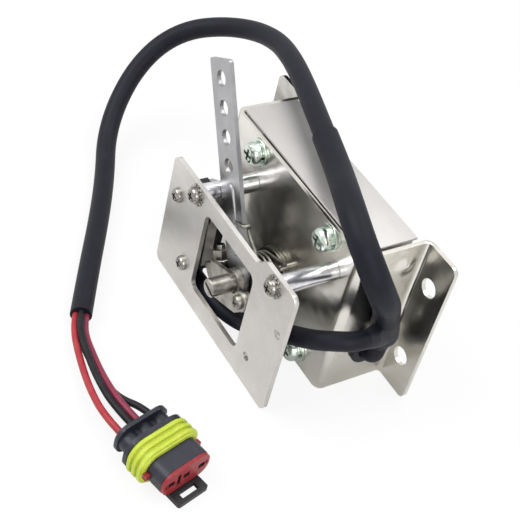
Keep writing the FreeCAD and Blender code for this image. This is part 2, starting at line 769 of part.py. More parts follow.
def bracket_screws():
    """Four screws through the web into the potentiometer's bosses, each over a spring and a flat washer."""
    form = pan_screw("bracket_screw_form", "web_screw_head_radius", "web_screw_head_height", "web_screw_radius",
                     "web_screw_length")
    seat = f"{WEB_FRONT} - flat_washer_sheet - spring_washer_sheet"
    copies("bracket_screws", form, [(x, seat, z) for x, z in SCREW_PLACES])
    split = turned("spring_washer_form", tube_profile("web_screw_hole", "spring_washer_radius",
                                                      "-spring_washer_sheet", "0"))
    slit = rectangle("0", "2 * spring_washer_radius", "-spring_washer_slit / 2", "spring_washer_slit / 2")
    sketch = draw(split, "spring_washer_gap", "XZ_Plane", [slit], "-spring_washer_sheet")
    pocket(split, "spring_washer_gap_cut", sketch, "2 * spring_washer_sheet")
    copies("spring_washers", split, [(x, f"{WEB_FRONT} - flat_washer_sheet", z) for x, z in SCREW_PLACES])
    flat = turned("flat_washer_form", tube_profile("web_screw_hole", "flat_washer_radius",
                                                   "-flat_washer_sheet", "0"))
    copies("flat_washers", flat, [(x, WEB_FRONT, z) for x, z in SCREW_PLACES])


def potentiometer():
    """The sealed unit behind the web: moulded housing, bearing bush, resistor track, wiper and rear cover."""
    body = new_body("pot_housing")
    base = rectangle("-housing_left", "housing_right", "-housing_bottom", "housing_top")
    sketch = draw(body, "base_outline", "XZ_Plane", [base], BASE_BACK)
    pad(body, "base_pad", sketch, "housing_base - housing_gap")
    round_edges(body, "base_corners", "housing_corner", along("Y", base))
    sketch = draw(body, "can_outline", "XZ_Plane", [(SHAFT_X, SHAFT_Z, "can_radius")], CAN_BACK)
    pad(body, "can_pad", sketch, "can_depth + housing_base / 2")
    for number, (x, z) in enumerate(SCREW_PLACES, start=1):
        sketch = draw(body, f"boss_{number}", "XZ_Plane", [(x, z, "boss_radius")], f"{BASE_BACK} + boss_depth")
        pad(body, f"boss_{number}_pad", sketch, "boss_depth + housing_base / 2")
    sketch = draw(body, "can_bore", "XZ_Plane", [(SHAFT_X, SHAFT_Z, "can_radius - can_wall")], CAN_FLOOR)
    pocket(body, "can_bore_cut", sketch, "can_depth")
    sketch = draw(body, "bush_seat", "XZ_Plane", [(SHAFT_X, SHAFT_Z, "bush_radius")], f"{WEB_BACK} - housing_gap")
    pocket(body, "bush_seat_cut", sketch, "2 * (housing_base + can_floor)")
    threads = [(x, z, "web_screw_radius") for x, z in SCREW_PLACES]
    sketch = draw(body, "boss_threads", "XZ_Plane", threads, f"{WEB_BACK} - housing_gap")
    pocket(body, "boss_threads_cut", sketch, "web_screw_length")
    reliefs = [(x, z, "small_screw_head_radius + screw_relief_gap") for x, z in STANDOFF_PLACES.values()]
    sketch = draw(body, "rear_screw_reliefs", "XZ_Plane", reliefs, f"{WEB_BACK} - housing_gap")
    pocket(body, "rear_screw_reliefs_cut", sketch, "small_screw_head_height + housing_gap + screw_relief_gap")
    sketch = draw(body, "lead_entry", "YZ_Plane", [("-lead_back", "-lead_down", "lead_radius + seat_clearance")],
                  "shaft_across + can_radius + can_wall")
    pocket(body, "lead_entry_cut", sketch, "4 * can_wall")
    keep(body, "pot_housing")

    bush = turned("pot_bush", tube_profile("shaft_radius + running_clearance", "bush_radius", BUSH_FRONT, CAN_FLOOR),
                  SHAFT_X, SHAFT_Z)
    keep(bush, "pot_bush")

    track = turned("resistor_track", tube_profile("track_bore_radius", "can_radius - can_wall - seat_clearance",
                                                  CAN_FLOOR, TRACK_BACK), SHAFT_X, SHAFT_Z)
    bands = []
    for mean in ("track_outer_mean", "track_inner_mean"):
        bands.append(("0", "0", f"{mean} + track_band / 2"))
        bands.append(("0", "0", f"{mean} - track_band / 2"))
    sketch = draw(track, "track_bands", "XZ_Plane", bands, TRACK_TOP)
    pad(track, "track_bands_pad", sketch, "track_raise + track_sheet / 2")
    keep(track, "resistor_track")

    arm = new_body("wiper")
    wiper_front = f"({TRACK_TOP} + wiper_gap)"
    hub = [("0", "0", "wiper_hub_radius"), ("0", "0", "shaft_radius")]
    sketch = draw(arm, "wiper_hub", "XZ_Plane", hub, f"{wiper_front} + wiper_hub_length")
    pad(arm, "wiper_hub_pad", sketch, "wiper_hub_length")
    reach = rectangle("-wiper_arm_width / 2", "wiper_arm_width / 2", "(shaft_radius + wiper_hub_radius) / 2",
                      "track_outer_mean + wiper_tip_radius")
    sketch = draw(arm, "wiper_arm", "XZ_Plane", [reach], f"{wiper_front} + wiper_arm_sheet")
    pad(arm, "wiper_arm_pad", sketch, "wiper_arm_sheet")
    at_shaft(arm)
    keep(arm, "wiper")

    spigot = "(can_radius - can_wall - seat_clearance)"
    pivot_back = f"({COVER_BACK} - cover_sheet / 2)"
    pocket_radius = "shaft_radius + running_clearance"
    spigot_front = f"({CAN_BACK} - cover_spigot)"
    cover = turned("pot_rear_cover", [("0", pivot_back), (pocket_radius, pivot_back), (pocket_radius, spigot_front),
                                      (spigot, spigot_front), (spigot, CAN_BACK), ("can_radius", CAN_BACK),
                                      ("can_radius", COVER_BACK), ("0", COVER_BACK)], SHAFT_X, SHAFT_Z)
    keep(cover, "pot_rear_cover")


def lever_shaft():
    """The slotted shaft that carries the lever in front of the web and the wiper behind it."""
    end = f"({COVER_BACK} - cover_sheet / 2 - wiper_gap)"
    body = turned("lever_shaft", [("0", SHAFT_FRONT), ("shaft_radius - shaft_chamfer", SHAFT_FRONT),
                                  ("shaft_radius", f"{SHAFT_FRONT} + shaft_chamfer"), ("shaft_radius", end),
                                  ("0", end)])
    slot = rectangle("-2 * shaft_radius", "2 * shaft_radius", "-shaft_slot_width / 2", "shaft_slot_width / 2")
    sketch = draw(body, "slot_outline", "XZ_Plane", [slot], SHAFT_FRONT)
    pocket(body, "slot_cut", sketch, "shaft_slot_depth")
    set_place(body, SHAFT_X, "0", SHAFT_Z, "shaft_slot_turn")
    keep(body, "lever_shaft")


def lever():
    """The flat drilled lever with its pressed rib, standing up along Z before it is tilted to its rest angle."""
    body = new_body("lever")
    half = "(lever_width / 2)"
    blade = rectangle(f"-{half}", half, "lever_foot_start", "lever_length")
    sketch = draw(body, "blade_outline", "XZ_Plane", [blade], LEVER_BACK)
    pad(body, "blade_pad", sketch, "lever_sheet")
    round_edges(body, "blade_top", "lever_corner", along("Y", [(half, "lever_length"), (f"-{half}", "lever_length")]))
    lap = "lever_foot_start + lever_neck_lap"
    neck = [(f"-{half}", lap), (f"-{half}", "lever_foot_start"), ("-lever_foot_radius", "0"),
            ("lever_foot_radius", "0"), (half, "lever_foot_start"), (half, lap)]
    sketch = draw(body, "neck_outline", "XZ_Plane", [neck], LEVER_BACK)
    pad(body, "neck_pad", sketch, "lever_sheet")
    sketch = draw(body, "foot_outline", "XZ_Plane", [("0", "0", "lever_foot_radius")], LEVER_BACK)
    pad(body, "foot_pad", sketch, "lever_sheet")
    sketch = draw(body, "shaft_hole", "XZ_Plane", [("0", "0", "shaft_radius")], LEVER_FRONT)
    pocket(body, "shaft_hole_cut", sketch, "2 * lever_sheet")
    holes = [("0", f"lever_hole_first + {number} * lever_hole_pitch", "lever_hole_radius")
             for number in range(int(SIZES["lever_hole_number"]))]
    sketch = draw(body, "rod_holes", "XZ_Plane", holes, LEVER_FRONT)
    pocket(body, "rod_holes_cut", sketch, "2 * lever_sheet")
    rib_half = "(lever_rib_width / 2)"
    rib = rectangle(f"-{rib_half}", rib_half, "lever_rib_low", "lever_rib_high")
    sketch = draw(body, "rib_outline", "XZ_Plane", [rib], LEVER_FRONT)
    pad(body, "rib_pad", sketch, "lever_rib_rise")
    round_edges(body, "rib_ends", f"{rib_half} - seat_clearance", along("Y", rib))
    rise = f"({LEVER_FRONT} - lever_rib_rise)"
    level_now = value(rise)
    round_edges(body, "rib_crown", "lever_rib_rise * lever_rib_crown_share",
                lambda edge: all(abs(vertex.Point.y - level_now) < 1e-3 for vertex in edge.Vertexes))
    at_shaft(body)
    keep(body, "lever")


def hub():
    """The hub plate clamped on the shaft in front of the lever, its folded tab, collar, clamp screw and nut."""
    body = new_body("lever_hub")
    face = [("-hub_left", "hub_left_top"), ("-hub_bottom_left", "-hub_bottom_left_down"),
            ("hub_bottom_right", "-hub_bottom"), ("hub_ear_across", "-hub_ear_down - hub_ear_radius"),
            ("hub_throat_across", "-hub_throat_down"), ("hub_right", "-hub_notch_bottom"),
            ("hub_right", "hub_right_top")]
    sketch = draw(body, "hub_outline", "XZ_Plane", [face], HUB_BACK)
    pad(body, "hub_pad", sketch, "hub_sheet")
    sketch = draw(body, "hub_ear", "XZ_Plane", [("hub_ear_across", "-hub_ear_down", "hub_ear_radius")], HUB_BACK)
    pad(body, "hub_ear_pad", sketch, "hub_sheet")
    tab = rectangle("-tab_across - tab_width / 2", "-tab_across + tab_width / 2", "tab_top - hub_sheet", "tab_top")
    sketch = draw(body, "tab_outline", "XZ_Plane", [tab], TAB_BACK)
    pad(body, "tab_pad", sketch, "tab_length")
    left = "(-tab_across - tab_width / 2)"
    web = [(left, "tab_top"), (left, "tab_top - hub_sheet"), ("-hub_bottom_left", "-hub_bottom_left_down"),
           ("-hub_root_across", "hub_root_up")]
    sketch = draw(body, "tab_root", "XZ_Plane", [web], HUB_BACK)
    pad(body, "tab_root_pad", sketch, "hub_sheet")
    sketch = draw(body, "hub_holes", "XZ_Plane", [("0", "0", "shaft_radius"),
                                                  ("hub_ear_across", "-hub_ear_down", "clamp_screw_radius")],
                  HUB_FRONT)
    pocket(body, "hub_holes_cut", sketch, "2 * hub_sheet")
    sketch = draw(body, "tab_hole", "XY_Plane", [("-tab_across", IDLE_Y, "idle_bolt_radius")],
                  "tab_top + hub_sheet")
    pocket(body, "tab_hole_cut", sketch, "3 * hub_sheet")
    at_shaft(body)
    keep(body, "lever_hub")

    collar = turned("hub_collar", tube_profile("shaft_radius", "collar_radius", HUB_BACK, LEVER_FRONT),
                    SHAFT_X, SHAFT_Z)
    keep(collar, "hub_collar")

    ear_x = "shaft_across + hub_ear_across * cos(lever_tilt) + hub_ear_down * sin(lever_tilt)"
    ear_z = "-shaft_down + hub_ear_across * sin(lever_tilt) - hub_ear_down * cos(lever_tilt)"
    reach = "hub_sheet + clamp_nut_height"
    screw = pan_screw("hub_clamp_screw", "clamp_screw_head_radius", "clamp_screw_head_height",
                      "clamp_screw_radius", reach)
    set_place(screw, ear_x, HUB_FRONT, ear_z, "-lever_tilt")
    keep(screw, "hub_clamp_screw")
    nut = new_body("hub_clamp_nut")
    sketch = draw(nut, "clamp_nut_outline", "XZ_Plane", [hexagon("clamp_nut_flats"), ("0", "0", "clamp_screw_radius")],
                  "clamp_nut_height")
    pad(nut, "clamp_nut_pad", sketch, "clamp_nut_height")
    set_place(nut, ear_x, HUB_BACK, ear_z, "-lever_tilt")
    keep(nut, "hub_clamp_nut")


def idle_bolt():
    """The idle stop: a bolt up through the hub's tab, a bright washer on the tab and a nut on top."""
    under = "(tab_top - hub_sheet)"
    washer_top = "(tab_top + idle_washer_sheet)"
    nut_top = "(tab_top + idle_washer_sheet + idle_nut_height)"
    bolt = new_body("idle_bolt")
    sketch = draw(bolt, "bolt_shank", "XY_Plane", [("-tab_across", IDLE_Y, "idle_bolt_radius")], under)
    pad(bolt, "bolt_shank_pad", sketch, "hub_sheet + idle_washer_sheet + idle_nut_height + idle_bolt_proud")
    sketch = draw(bolt, "bolt_head", "XY_Plane", [hexagon("idle_nut_flats", "-tab_across", IDLE_Y)],
                  f"{under} - idle_head_height")
    pad(bolt, "bolt_head_pad", sketch, "idle_head_height")
    at_shaft(bolt)
    keep(bolt, "idle_bolt")
    washer = new_body("idle_washer")
    ring = [("-tab_across", IDLE_Y, "idle_washer_radius"), ("-tab_across", IDLE_Y, "idle_bolt_radius")]
    sketch = draw(washer, "idle_washer_outline", "XY_Plane", ring, "tab_top")
    pad(washer, "idle_washer_pad", sketch, "idle_washer_sheet")
    at_shaft(washer)
    keep(washer, "idle_washer")
    nut = new_body("idle_nut")
    outline = [hexagon("idle_nut_flats", "-tab_across", IDLE_Y), ("-tab_across", IDLE_Y, "idle_bolt_radius")]
    sketch = draw(nut, "idle_nut_outline", "XY_Plane", outline, washer_top)
    pad(nut, "idle_nut_pad", sketch, "idle_nut_height")
    at_shaft(nut)
    keep(nut, "idle_nut")


def spring_spool():
    """The spool on the bush's nose that holds the return spring, its washer and the spring's anchor pin."""
    washer = turned("spool_washer", tube_profile("bush_radius + seat_clearance", "spool_washer_radius", SPOOL_BACK,
                                                 WEB_FRONT), SHAFT_X, SHAFT_Z)
    keep(washer, "spool_washer")
    bore = "bush_radius + seat_clearance"
    clear = "shaft_radius + spool_shaft_gap"
    nose = f"({BUSH_FRONT} - seat_clearance)"
    core = "spool_core_radius"
    rear = f"({SPOOL_BACK} - spool_rear_rim)"
    front = f"({SPOOL_FRONT} + spool_front_rim)"
    spool = turned("spring_spool", [(bore, SPOOL_BACK), ("spool_rear_radius", SPOOL_BACK),
                                    ("spool_rear_radius", rear), (core, rear), (core, front),
                                    ("spool_front_radius", front), ("spool_front_radius", SPOOL_FRONT),
                                    (clear, SPOOL_FRONT), (clear, nose), (bore, nose)], SHAFT_X, SHAFT_Z)
    keep(spool, "spring_spool")
    pin = turned("spring_anchor_pin", [("0", f"{WEB_FRONT} - anchor_length"),
                                       ("anchor_radius", f"{WEB_FRONT} - anchor_length"),
                                       ("anchor_radius", WEB_BACK), ("0", WEB_BACK)], "anchor_across", "anchor_up")
    keep(pin, "spring_anchor_pin")


# The share of the shorter neighbouring run that a bend takes when its radius isn't given
BEND_SHARE = 0.45


def rounded_path(points, bends=None):
    """Straight runs joined by tangent arcs, whose radii follow from the runs unless bends gives them."""
    points = [Vector(*point) for point in points]
    edges = []
    radii = []
    start = points[0]
    for index in range(1, len(points) - 1):
        before = points[index - 1] - points[index]
        after = points[index + 1] - points[index]
        half_turn = (math.pi - before.getAngle(after)) / 2
        if bends:
            radius = bends[index - 1]
            back_off = radius * math.tan(half_turn)
        else:
            back_off = BEND_SHARE * min(before.Length, after.Length)
            radius = back_off / math.tan(half_turn)
        radii.append(radius)
        into = points[index] + before.normalize() * back_off
        out = points[index] + after.normalize() * back_off
        bisector = (before.normalize() + after.normalize()).normalize()
        depth = radius / math.cos(half_turn) - radius
        middle = points[index] + bisector * depth
        edges.append(Part.LineSegment(start, into).toShape())
        edges.append(Part.Arc(into, middle, out).toShape())
        start = out
    edges.append(Part.LineSegment(start, points[-1]).toShape())
    return Part.Wire(edges), radii


def swept(path, radius):
    """A round bar of one radius along a path."""
    start = path.Edges[0].Vertexes[0].Point
    direction = path.Edges[0].tangentAt(path.Edges[0].FirstParameter)
    ring = Part.Wire([Part.Circle(start, direction, radius).toShape()])
    solid = path.makePipeShell([ring], True, False)
    return solid


def made(name, shape):
    """A piece whose shape follows a path through space."""
    piece = doc.addObject("Part::Feature", name)
    piece.Shape = shape
    return piece


def point(x, y, z):
    return Vector(value(x), value(y), value(z))


def return_spring():
    """The torsion spring: a hook over the lever's right edge, turns round the spool and a leg at the anchor."""
    wire = value("spring_wire_radius")
    coil = value("spring_coil_radius")
    front = value(f"{SPOOL_FRONT} + spool_front_rim + spring_end_gap + spring_wire_radius")
    back = value(f"{SPOOL_BACK} - spool_rear_rim - spring_end_gap - spring_wire_radius")
    hook_up = value("spring_hook_up")
    hook_front = value(f"{LEVER_FRONT} - spring_wire_radius - spring_hook_gap")
    bend = value("spring_hook_bend")
    rear_angle = math.radians(value("spring_rear_angle"))
    half_turns = int(2 * value("spring_turns"))
    rise = (back - front) / (half_turns - rear_angle / math.pi)
    leg, _ = rounded_path([(value("spring_hook_reach"), hook_front, hook_up), (coil, hook_front, hook_up),
                           (coil, front, hook_up), (coil, front, 0)], [bend, bend])
    edges = list(leg.Edges)
    for number in range(half_turns):
        side = 1 if number % 2 == 0 else -1
        level = front + rise * number

        def at(angle, side=side, level=level):
            """A point of this half turn, which lies in one slightly tilted plane."""
            across = side * coil * math.cos(angle)
            return Vector(across, level + rise * (1 - math.cos(angle)) / 2, -side * coil * math.sin(angle))
        sweep = math.pi if number < half_turns - 1 else math.pi - rear_angle
        edges.append(Part.Arc(at(0), at(sweep / 2), at(sweep)).toShape())
    end = edges[-1].Vertexes[-1].Point
    onward = edges[-1].tangentAt(edges[-1].LastParameter)
    edges.append(Part.LineSegment(end, end + onward * value("spring_rear_leg")).toShape())
    path = Part.Wire(edges)
    piece = made("return_spring", swept(path, wire))
    at_shaft(piece)
    keep(piece, "return_spring")


def microswitch():
    """The microswitch's case and rear cover behind the front plate, with the screws and nuts that hold it."""
    face = rectangle("-switch_left", SWITCH_RIGHT, SWITCH_BOTTOM, "switch_top")
    holes = [(x, z, "switch_screw_radius + running_clearance") for x, z in SWITCH_SCREW_PLACES]
    case = new_body("switch_case")
    sketch = draw(case, "case_outline", "XZ_Plane", [face], SWITCH_CASE_BACK)
    pad(case, "case_pad", sketch, "switch_depth")
    round_edges(case, "case_corners", "switch_edge", along("Y", face))
    sketch = draw(case, "case_holes", "XZ_Plane", holes, PLATE_BACK)
    pocket(case, "case_holes_cut", sketch, "switch_depth")
    bore = [(LEAF_Y, PLUNGER_Z, "plunger_radius + running_clearance")]
    sketch = draw(case, "plunger_bore", "YZ_Plane", bore, SWITCH_RIGHT)
    pocket(case, "plunger_bore_cut", sketch,
           f"plunger_length - ({PLUNGER_TIP} - {SWITCH_RIGHT}) + plunger_travel_room")
    keep(case, "switch_case")

    cover = new_body("switch_cover")
    sketch = draw(cover, "cover_outline", "XZ_Plane", [face], SWITCH_BACK)
    pad(cover, "cover_pad", sketch, "switch_cover_sheet")
    round_edges(cover, "cover_corners", "switch_edge", along("Y", face))
    sketch = draw(cover, "cover_holes", "XZ_Plane", holes, SWITCH_CASE_BACK)
    pocket(cover, "cover_holes_cut", sketch, "switch_cover_sheet")
    keep(cover, "switch_cover")

    screw = pan_screw("switch_screw_form", "switch_screw_head_radius", "switch_screw_head_height",
                      "switch_screw_radius",
                      "plate_sheet + switch_depth + switch_cover_sheet + switch_screw_tail")
    copies("switch_screws", screw, [(x, PLATE_FRONT, z) for x, z in SWITCH_SCREW_PLACES])
    nut = new_body("switch_nut_form")
    outline = [hexagon("switch_nut_flats"), ("0", "0", "switch_screw_radius")]
    sketch = draw(nut, "switch_nut_outline", "XZ_Plane", outline, "switch_nut_height")
    pad(nut, "switch_nut_pad", sketch, "switch_nut_height")
    copies("switch_nuts", nut, [(x, SWITCH_BACK, z) for x, z in SWITCH_SCREW_PLACES])


def switch_leaf():
    """The switch's rolled leaf on its pin, the bracket that carries the pin, and the plunger under the leaf."""
    leaf = new_body("switch_leaf")
    inner = "(pivot_radius + running_clearance)"
    outer = "(pivot_radius + running_clearance + leaf_sheet)"
    front_to_back = f"{LEAF_Y} + leaf_width / 2"
    sketch = draw(leaf, "leaf_roll", "XZ_Plane", [("0", "0", outer), ("0", "0", inner)], front_to_back)
    pad(leaf, "leaf_roll_pad", sketch, "leaf_width")
    strip = rectangle(f"-{outer}", f"-{inner}", "-leaf_length", "0")
    sketch = draw(leaf, "leaf_strip", "XZ_Plane", [strip], front_to_back)
    pad(leaf, "leaf_strip_pad", sketch, "leaf_width")
    side = f"({LEAF_Y} + leaf_width / 2)"
    wing = [(f"{side} - leaf_sheet", "-leaf_flare_start"), (side, "-leaf_flare_start"),
            (f"{side} + leaf_flare_reach", "-leaf_flare_start - leaf_flare_slope"),
            (f"{side} + leaf_flare_reach", "-leaf_length"), (f"{side} - leaf_sheet", "-leaf_length")]
    sketch = draw(leaf, "leaf_wing", "YZ_Plane", [wing], f"-{outer}")
    pad(leaf, "leaf_wing_pad", sketch, "leaf_sheet")
    set_place(leaf, PIVOT_X, "0", PIVOT_Z, "-leaf_lean")
    keep(leaf, "switch_leaf")

    holder = new_body("leaf_bracket")
    ear_in = "(leaf_width / 2 + leaf_side_gap)"
    ear_out = "(leaf_width / 2 + leaf_side_gap + pivot_bracket_sheet)"
    low = f"{PIVOT_Z} - pivot_bracket_drop"
    high = f"{PIVOT_Z} + pivot_ear_radius"
    base = rectangle(SWITCH_RIGHT, f"{SWITCH_RIGHT} + pivot_bracket_sheet", low, high)
    sketch = draw(holder, "bracket_base", "XZ_Plane", [base], f"{LEAF_Y} + {ear_out}")
    pad(holder, "bracket_base_pad", sketch, f"2 * {ear_out}")
    ear = rectangle(SWITCH_RIGHT, f"{PIVOT_X} + pivot_ear_radius", f"{PIVOT_Z} - pivot_ear_radius", high)
    for name, back in (("rear", f"{LEAF_Y} + {ear_out}"), ("front", f"{LEAF_Y} - {ear_in}")):
        sketch = draw(holder, f"{name}_ear", "XZ_Plane", [ear], back)
        pad(holder, f"{name}_ear_pad", sketch, "pivot_bracket_sheet")
    sketch = draw(holder, "pin_holes", "XZ_Plane", [(PIVOT_X, PIVOT_Z, "pivot_radius")], f"{LEAF_Y} - {ear_out}")
    pocket(holder, "pin_holes_cut", sketch, f"2 * {ear_out}")
    keep(holder, "leaf_bracket")

    pin = turned("leaf_pin", [("0", f"{LEAF_Y} - {ear_out}"), ("pivot_radius", f"{LEAF_Y} - {ear_out}"),
                              ("pivot_radius", f"{LEAF_Y} + {ear_out}"), ("0", f"{LEAF_Y} + {ear_out}")],
                 PIVOT_X, PIVOT_Z)
    keep(pin, "leaf_pin")

    plunger = new_body("switch_plunger")
    sketch = draw(plunger, "plunger_outline", "YZ_Plane", [(LEAF_Y, PLUNGER_Z, "plunger_radius")],
                  f"{PLUNGER_TIP} - plunger_length")
    pad(plunger, "plunger_pad", sketch, "plunger_length")
    keep(plunger, "switch_plunger")


def switch_connections():
    """The switch's three blades and the moulded boot that takes the cable to the lower one."""
    blades = new_body("switch_terminals")
    half = "(terminal_sheet / 2)"
    outlines = []
    for down in ("terminal_upper_down", "terminal_lower_down"):
        level = f"(switch_top - {down})"
        outlines.append(rectangle("-switch_left - terminal_length", "-switch_left", f"{level} - {half}",
                                  f"{level} + {half}"))
    middle = "(-switch_left + boot_from_left + boot_width / 2)"
    outlines.append(rectangle(f"{middle} - {half}", f"{middle} + {half}", f"{SWITCH_BOTTOM} - terminal_length",
                              SWITCH_BOTTOM))
    sketch = draw(blades, "blade_outlines", "XZ_Plane", outlines, f"{LEAF_Y} + terminal_width / 2")
    pad(blades, "blades_pad", sketch, "terminal_width")
    keep(blades, "switch_terminals")

    boot = new_body("terminal_boot")
    left = "(-switch_left + boot_from_left)"
    block = rectangle(left, f"{left} + boot_width", f"{SWITCH_BOTTOM} - boot_height", SWITCH_BOTTOM)
    sketch = draw(boot, "boot_outline", "XZ_Plane", [block], f"{LEAF_Y} + boot_depth / 2")
    pad(boot, "boot_pad", sketch, "boot_depth")
    low = f"{SWITCH_BOTTOM} - boot_height"
    round_edges(boot, "boot_edges", "boot_edge", along("Y", [(left, low), (f"{left} + boot_width", low)]))
    slot = rectangle(f"{middle} - {half}", f"{middle} + {half}", f"{LEAF_Y} - terminal_width / 2",
                     f"{LEAF_Y} + terminal_width / 2")
    sketch = draw(boot, "blade_slot", "XY_Plane", [slot], SWITCH_BOTTOM)
    pocket(boot, "blade_slot_cut", sketch, "terminal_length + running_clearance")
    keep(boot, "terminal_boot")


def grommet_and_lead():
    """The rubber grommet in the right wall and the short lead bent down and in through it."""
    grommet = new_body("wall_grommet")
    place = ("-lead_back", "-lead_down")
    neck = [(*place, "grommet_neck_radius"), (*place, "lead_radius")]
    rim = [(*place, "grommet_rim_radius"), (*place, "lead_radius")]
    sketch = draw(grommet, "grommet_neck", "YZ_Plane", neck, f"{WALL_OUT} - bracket_sheet - grommet_rim")
    pad(grommet, "grommet_neck_pad", sketch, "bracket_sheet + 2 * grommet_rim")
    for name, level in (("inner", f"{WALL_OUT} - bracket_sheet - grommet_rim"), ("outer", WALL_OUT)):
        sketch = draw(grommet, f"grommet_{name}_rim", "YZ_Plane", rim, level)
        pad(grommet, f"grommet_{name}_rim_pad", sketch, "grommet_rim")
    keep(grommet, "wall_grommet")

    top = point(LEAD_X, "-lead_back", "-junction_down - junction_lead_arm")
    corner = point(LEAD_X, "-lead_back", "-lead_down")
    inside = point("shaft_across + can_radius - can_wall", "-lead_back", "-lead_down")
    path, _ = rounded_path([top, corner, inside], [value("lead_bend")])
    keep(made("pot_lead", swept(path, value("lead_radius"))), "pot_lead")


# Directions in which the sleeve and the switch's cable leave the junction, and the bent tail of the latter
SLEEVE_WAY = Vector(0.1255, -0.3137, 0.9412)
BRANCH_WAY = Vector(0.346, -0.832, 0.432)
TAIL_WAY = Vector(0.034, -0.989, 0.145)


def junction_end(*arms):
    """A point reached from the junction's middle along one arm after another."""
    place = point(LEAD_X, "-lead_back", "-junction_down")
    for way, length in arms:
        place += Vector(way).normalize() * value(length)
    return place


def cable_junction():
    """The moulded rubber ball in which the lead, the switch's cable and the sleeve meet."""
    ball = doc.addObject("Part::Sphere", "junction_ball")
    ball.setExpression("Radius", bound("junction_radius"))
    centre = junction_end()
    knee = junction_end((BRANCH_WAY, "junction_branch_arm")) - centre
    tip = junction_end((BRANCH_WAY, "junction_branch_arm"), (TAIL_WAY, "junction_tail")) - centre
    path, _ = rounded_path([(0, 0, 0), knee, tip], [value("junction_bend")])
    tail = made("junction_branch_arm", swept(path, value("junction_branch_radius")))
    parts = [ball, tail]
    for name, radius, length, way in (("sleeve", "junction_sleeve_radius", "junction_arm", SLEEVE_WAY),
                                      ("lead", "junction_lead_radius", "junction_lead_arm", Vector(0, 0, -1))):
        arm = doc.addObject("Part::Cylinder", f"junction_{name}_arm")
        arm.setExpression("Radius", bound(radius))
        arm.setExpression("Height", bound(length))
        arm.Placement = FreeCAD.Placement(Vector(0, 0, 0), FreeCAD.Rotation(Vector(0, 0, 1), way))
        parts.append(arm)
    whole = doc.addObject("Part::MultiFuse", "cable_junction")
    whole.Shapes = parts
    set_place(whole, LEAD_X, "-lead_back", "-junction_down")
    doc.recompute()
    keep(whole, "cable_junction")


def cable(name, points, radius):
    """A round cable along a path; its bend radii and its length are printed beside its own volume."""
    path, radii = rounded_path(points)
    shape = swept(path, value(radius))
    length = shape.Volume / (math.pi * value(radius) ** 2)
    low = min(corner.z for corner in shape.tessellate(0.1)[0])
    print(f"{name}: radii {[round(number, 1) for number in radii]} path {path.Length:.2f} section {length:.2f}"
          f" lowest {low:.2f}")
    keep(made(name, shape), name)


# The middle of the outer cable where its thin sheath passes into the thicker sleeve, and where it ends
SLEEVE_START = Vector(-12.5, -11.4, 37.7)
SHEATH_END = Vector(-15.5, -88.5, -26.2)
SHEATH_WAY = Vector(0.855, -0.518, 0)
SHEATH_SIDE = Vector(0.518, 0.855, 0)
SHEATH_POINTS = [(-34, -77.3, -26.2), (-57, -62.8, -26.2), (-78, -50.8, -26.2), (-94.5, -43, -23),
                 (-105.2, -34.5, -15.8), (-111.8, -24.5, -6), (-112.8, -14.5, 3.8), (-108, -5.3, 12.2),
                 (-97.6, 2.8, 19.2), (-84, 7.3, 25.6), (-68.8, 7, 31), (-53, 2.5, 34.8), (-36.5, -3.2, 36.9)]
SLEEVE_POINTS = [(7, -18.06, 38.35), (27, -28.5, 43.4), (40.5, -32.3, 41), (48, -30.3, 33.5), (50, -24.5, 23),
                 (46.03, -17.83, 14.5)]
BRANCH_POINTS = [(48.03, -28.43, 4.34), (45.2, -33.8, 3.7), (40.5, -38.6, 1.2), (31, -42, -4.2),
                 (17, -41.9, -16), (4.5, -41.7, -24.2), (-7.5, -43.8, -25.5)]


def cables():
    """The thin sheath, the thicker sleeve up to the junction, and the branch back to the switch's boot."""
    cable("cable_sheath", [SHEATH_END, *SHEATH_POINTS, SLEEVE_START], "sheath_radius")
    cable("cable_sleeve", [SLEEVE_START, *SLEEVE_POINTS, junction_end((SLEEVE_WAY, "junction_arm"))],
          "sleeve_radius")
    boot_end = point("-switch_left + boot_from_left + boot_width", LEAF_Y,
                     f"{SWITCH_BOTTOM} - boot_height + boot_entry_up")
    start = junction_end((BRANCH_WAY, "junction_branch_arm"), (TAIL_WAY, "junction_tail"))
    cable("switch_cable", [start, *BRANCH_POINTS, boot_end], "branch_radius")


# Each wire: its place in the sheath's end, to the side and up, in wire spacings; its points; its cavity
# in plug pitches; its side of a shared cavity; and the length of its last straight run into the plug
WIRES = {
    "wire_red": ((-1, 0), [(1.5, -96.6, -26.2), (15.0, -99.3, -25.0)], -1, 0, 10.0),
    "wire_black_upper": ((0, 1), [(2.5, -94.4, -24.4), (14.2, -96.0, -23.6)], 0, -1, 10.9),
    "wire_dark_red": ((1, 0), [(1.5, -92.0, -26.0), (13.2, -93.5, -24.6)], 0, 1, 10.9),
    "wire_black_lower": ((0, -1), [(1.0, -92.9, -28.5), (11.5, -92.9, -27.2), (21.0, -92.3, -25.6)], 1, 0, 5.6),
}


def wires():
    """The four cores from the sheath's end to the plug's rear seals; the two middle ones share a seal."""
    turn = FreeCAD.Rotation(Vector(0, 0, 1), value("plug_turn"))
    rear = point("plug_across", "-plug_forward", f"{FLOOR} + plug_floor_gap")
    forward = turn.multVec(Vector(1, 0, 0))
    across = turn.multVec(Vector(0, 1, 0))
    for name, (spot, points, cavity, side, last_run) in WIRES.items():
        spacing = value("wire_bundle_spacing")
        start = SHEATH_END + SHEATH_SIDE * (spot[0] * spacing) + Vector(0, 0, spot[1] * spacing)
        leave = start + SHEATH_WAY * value("wire_first_run")
        end = rear + forward * value("wire_depth")
        end += across * (cavity * value("plug_pitch") + side * value("wire_pair_offset"))
        cable(name, [start, leave, *points, end - forward * last_run, end], "wire_radius")


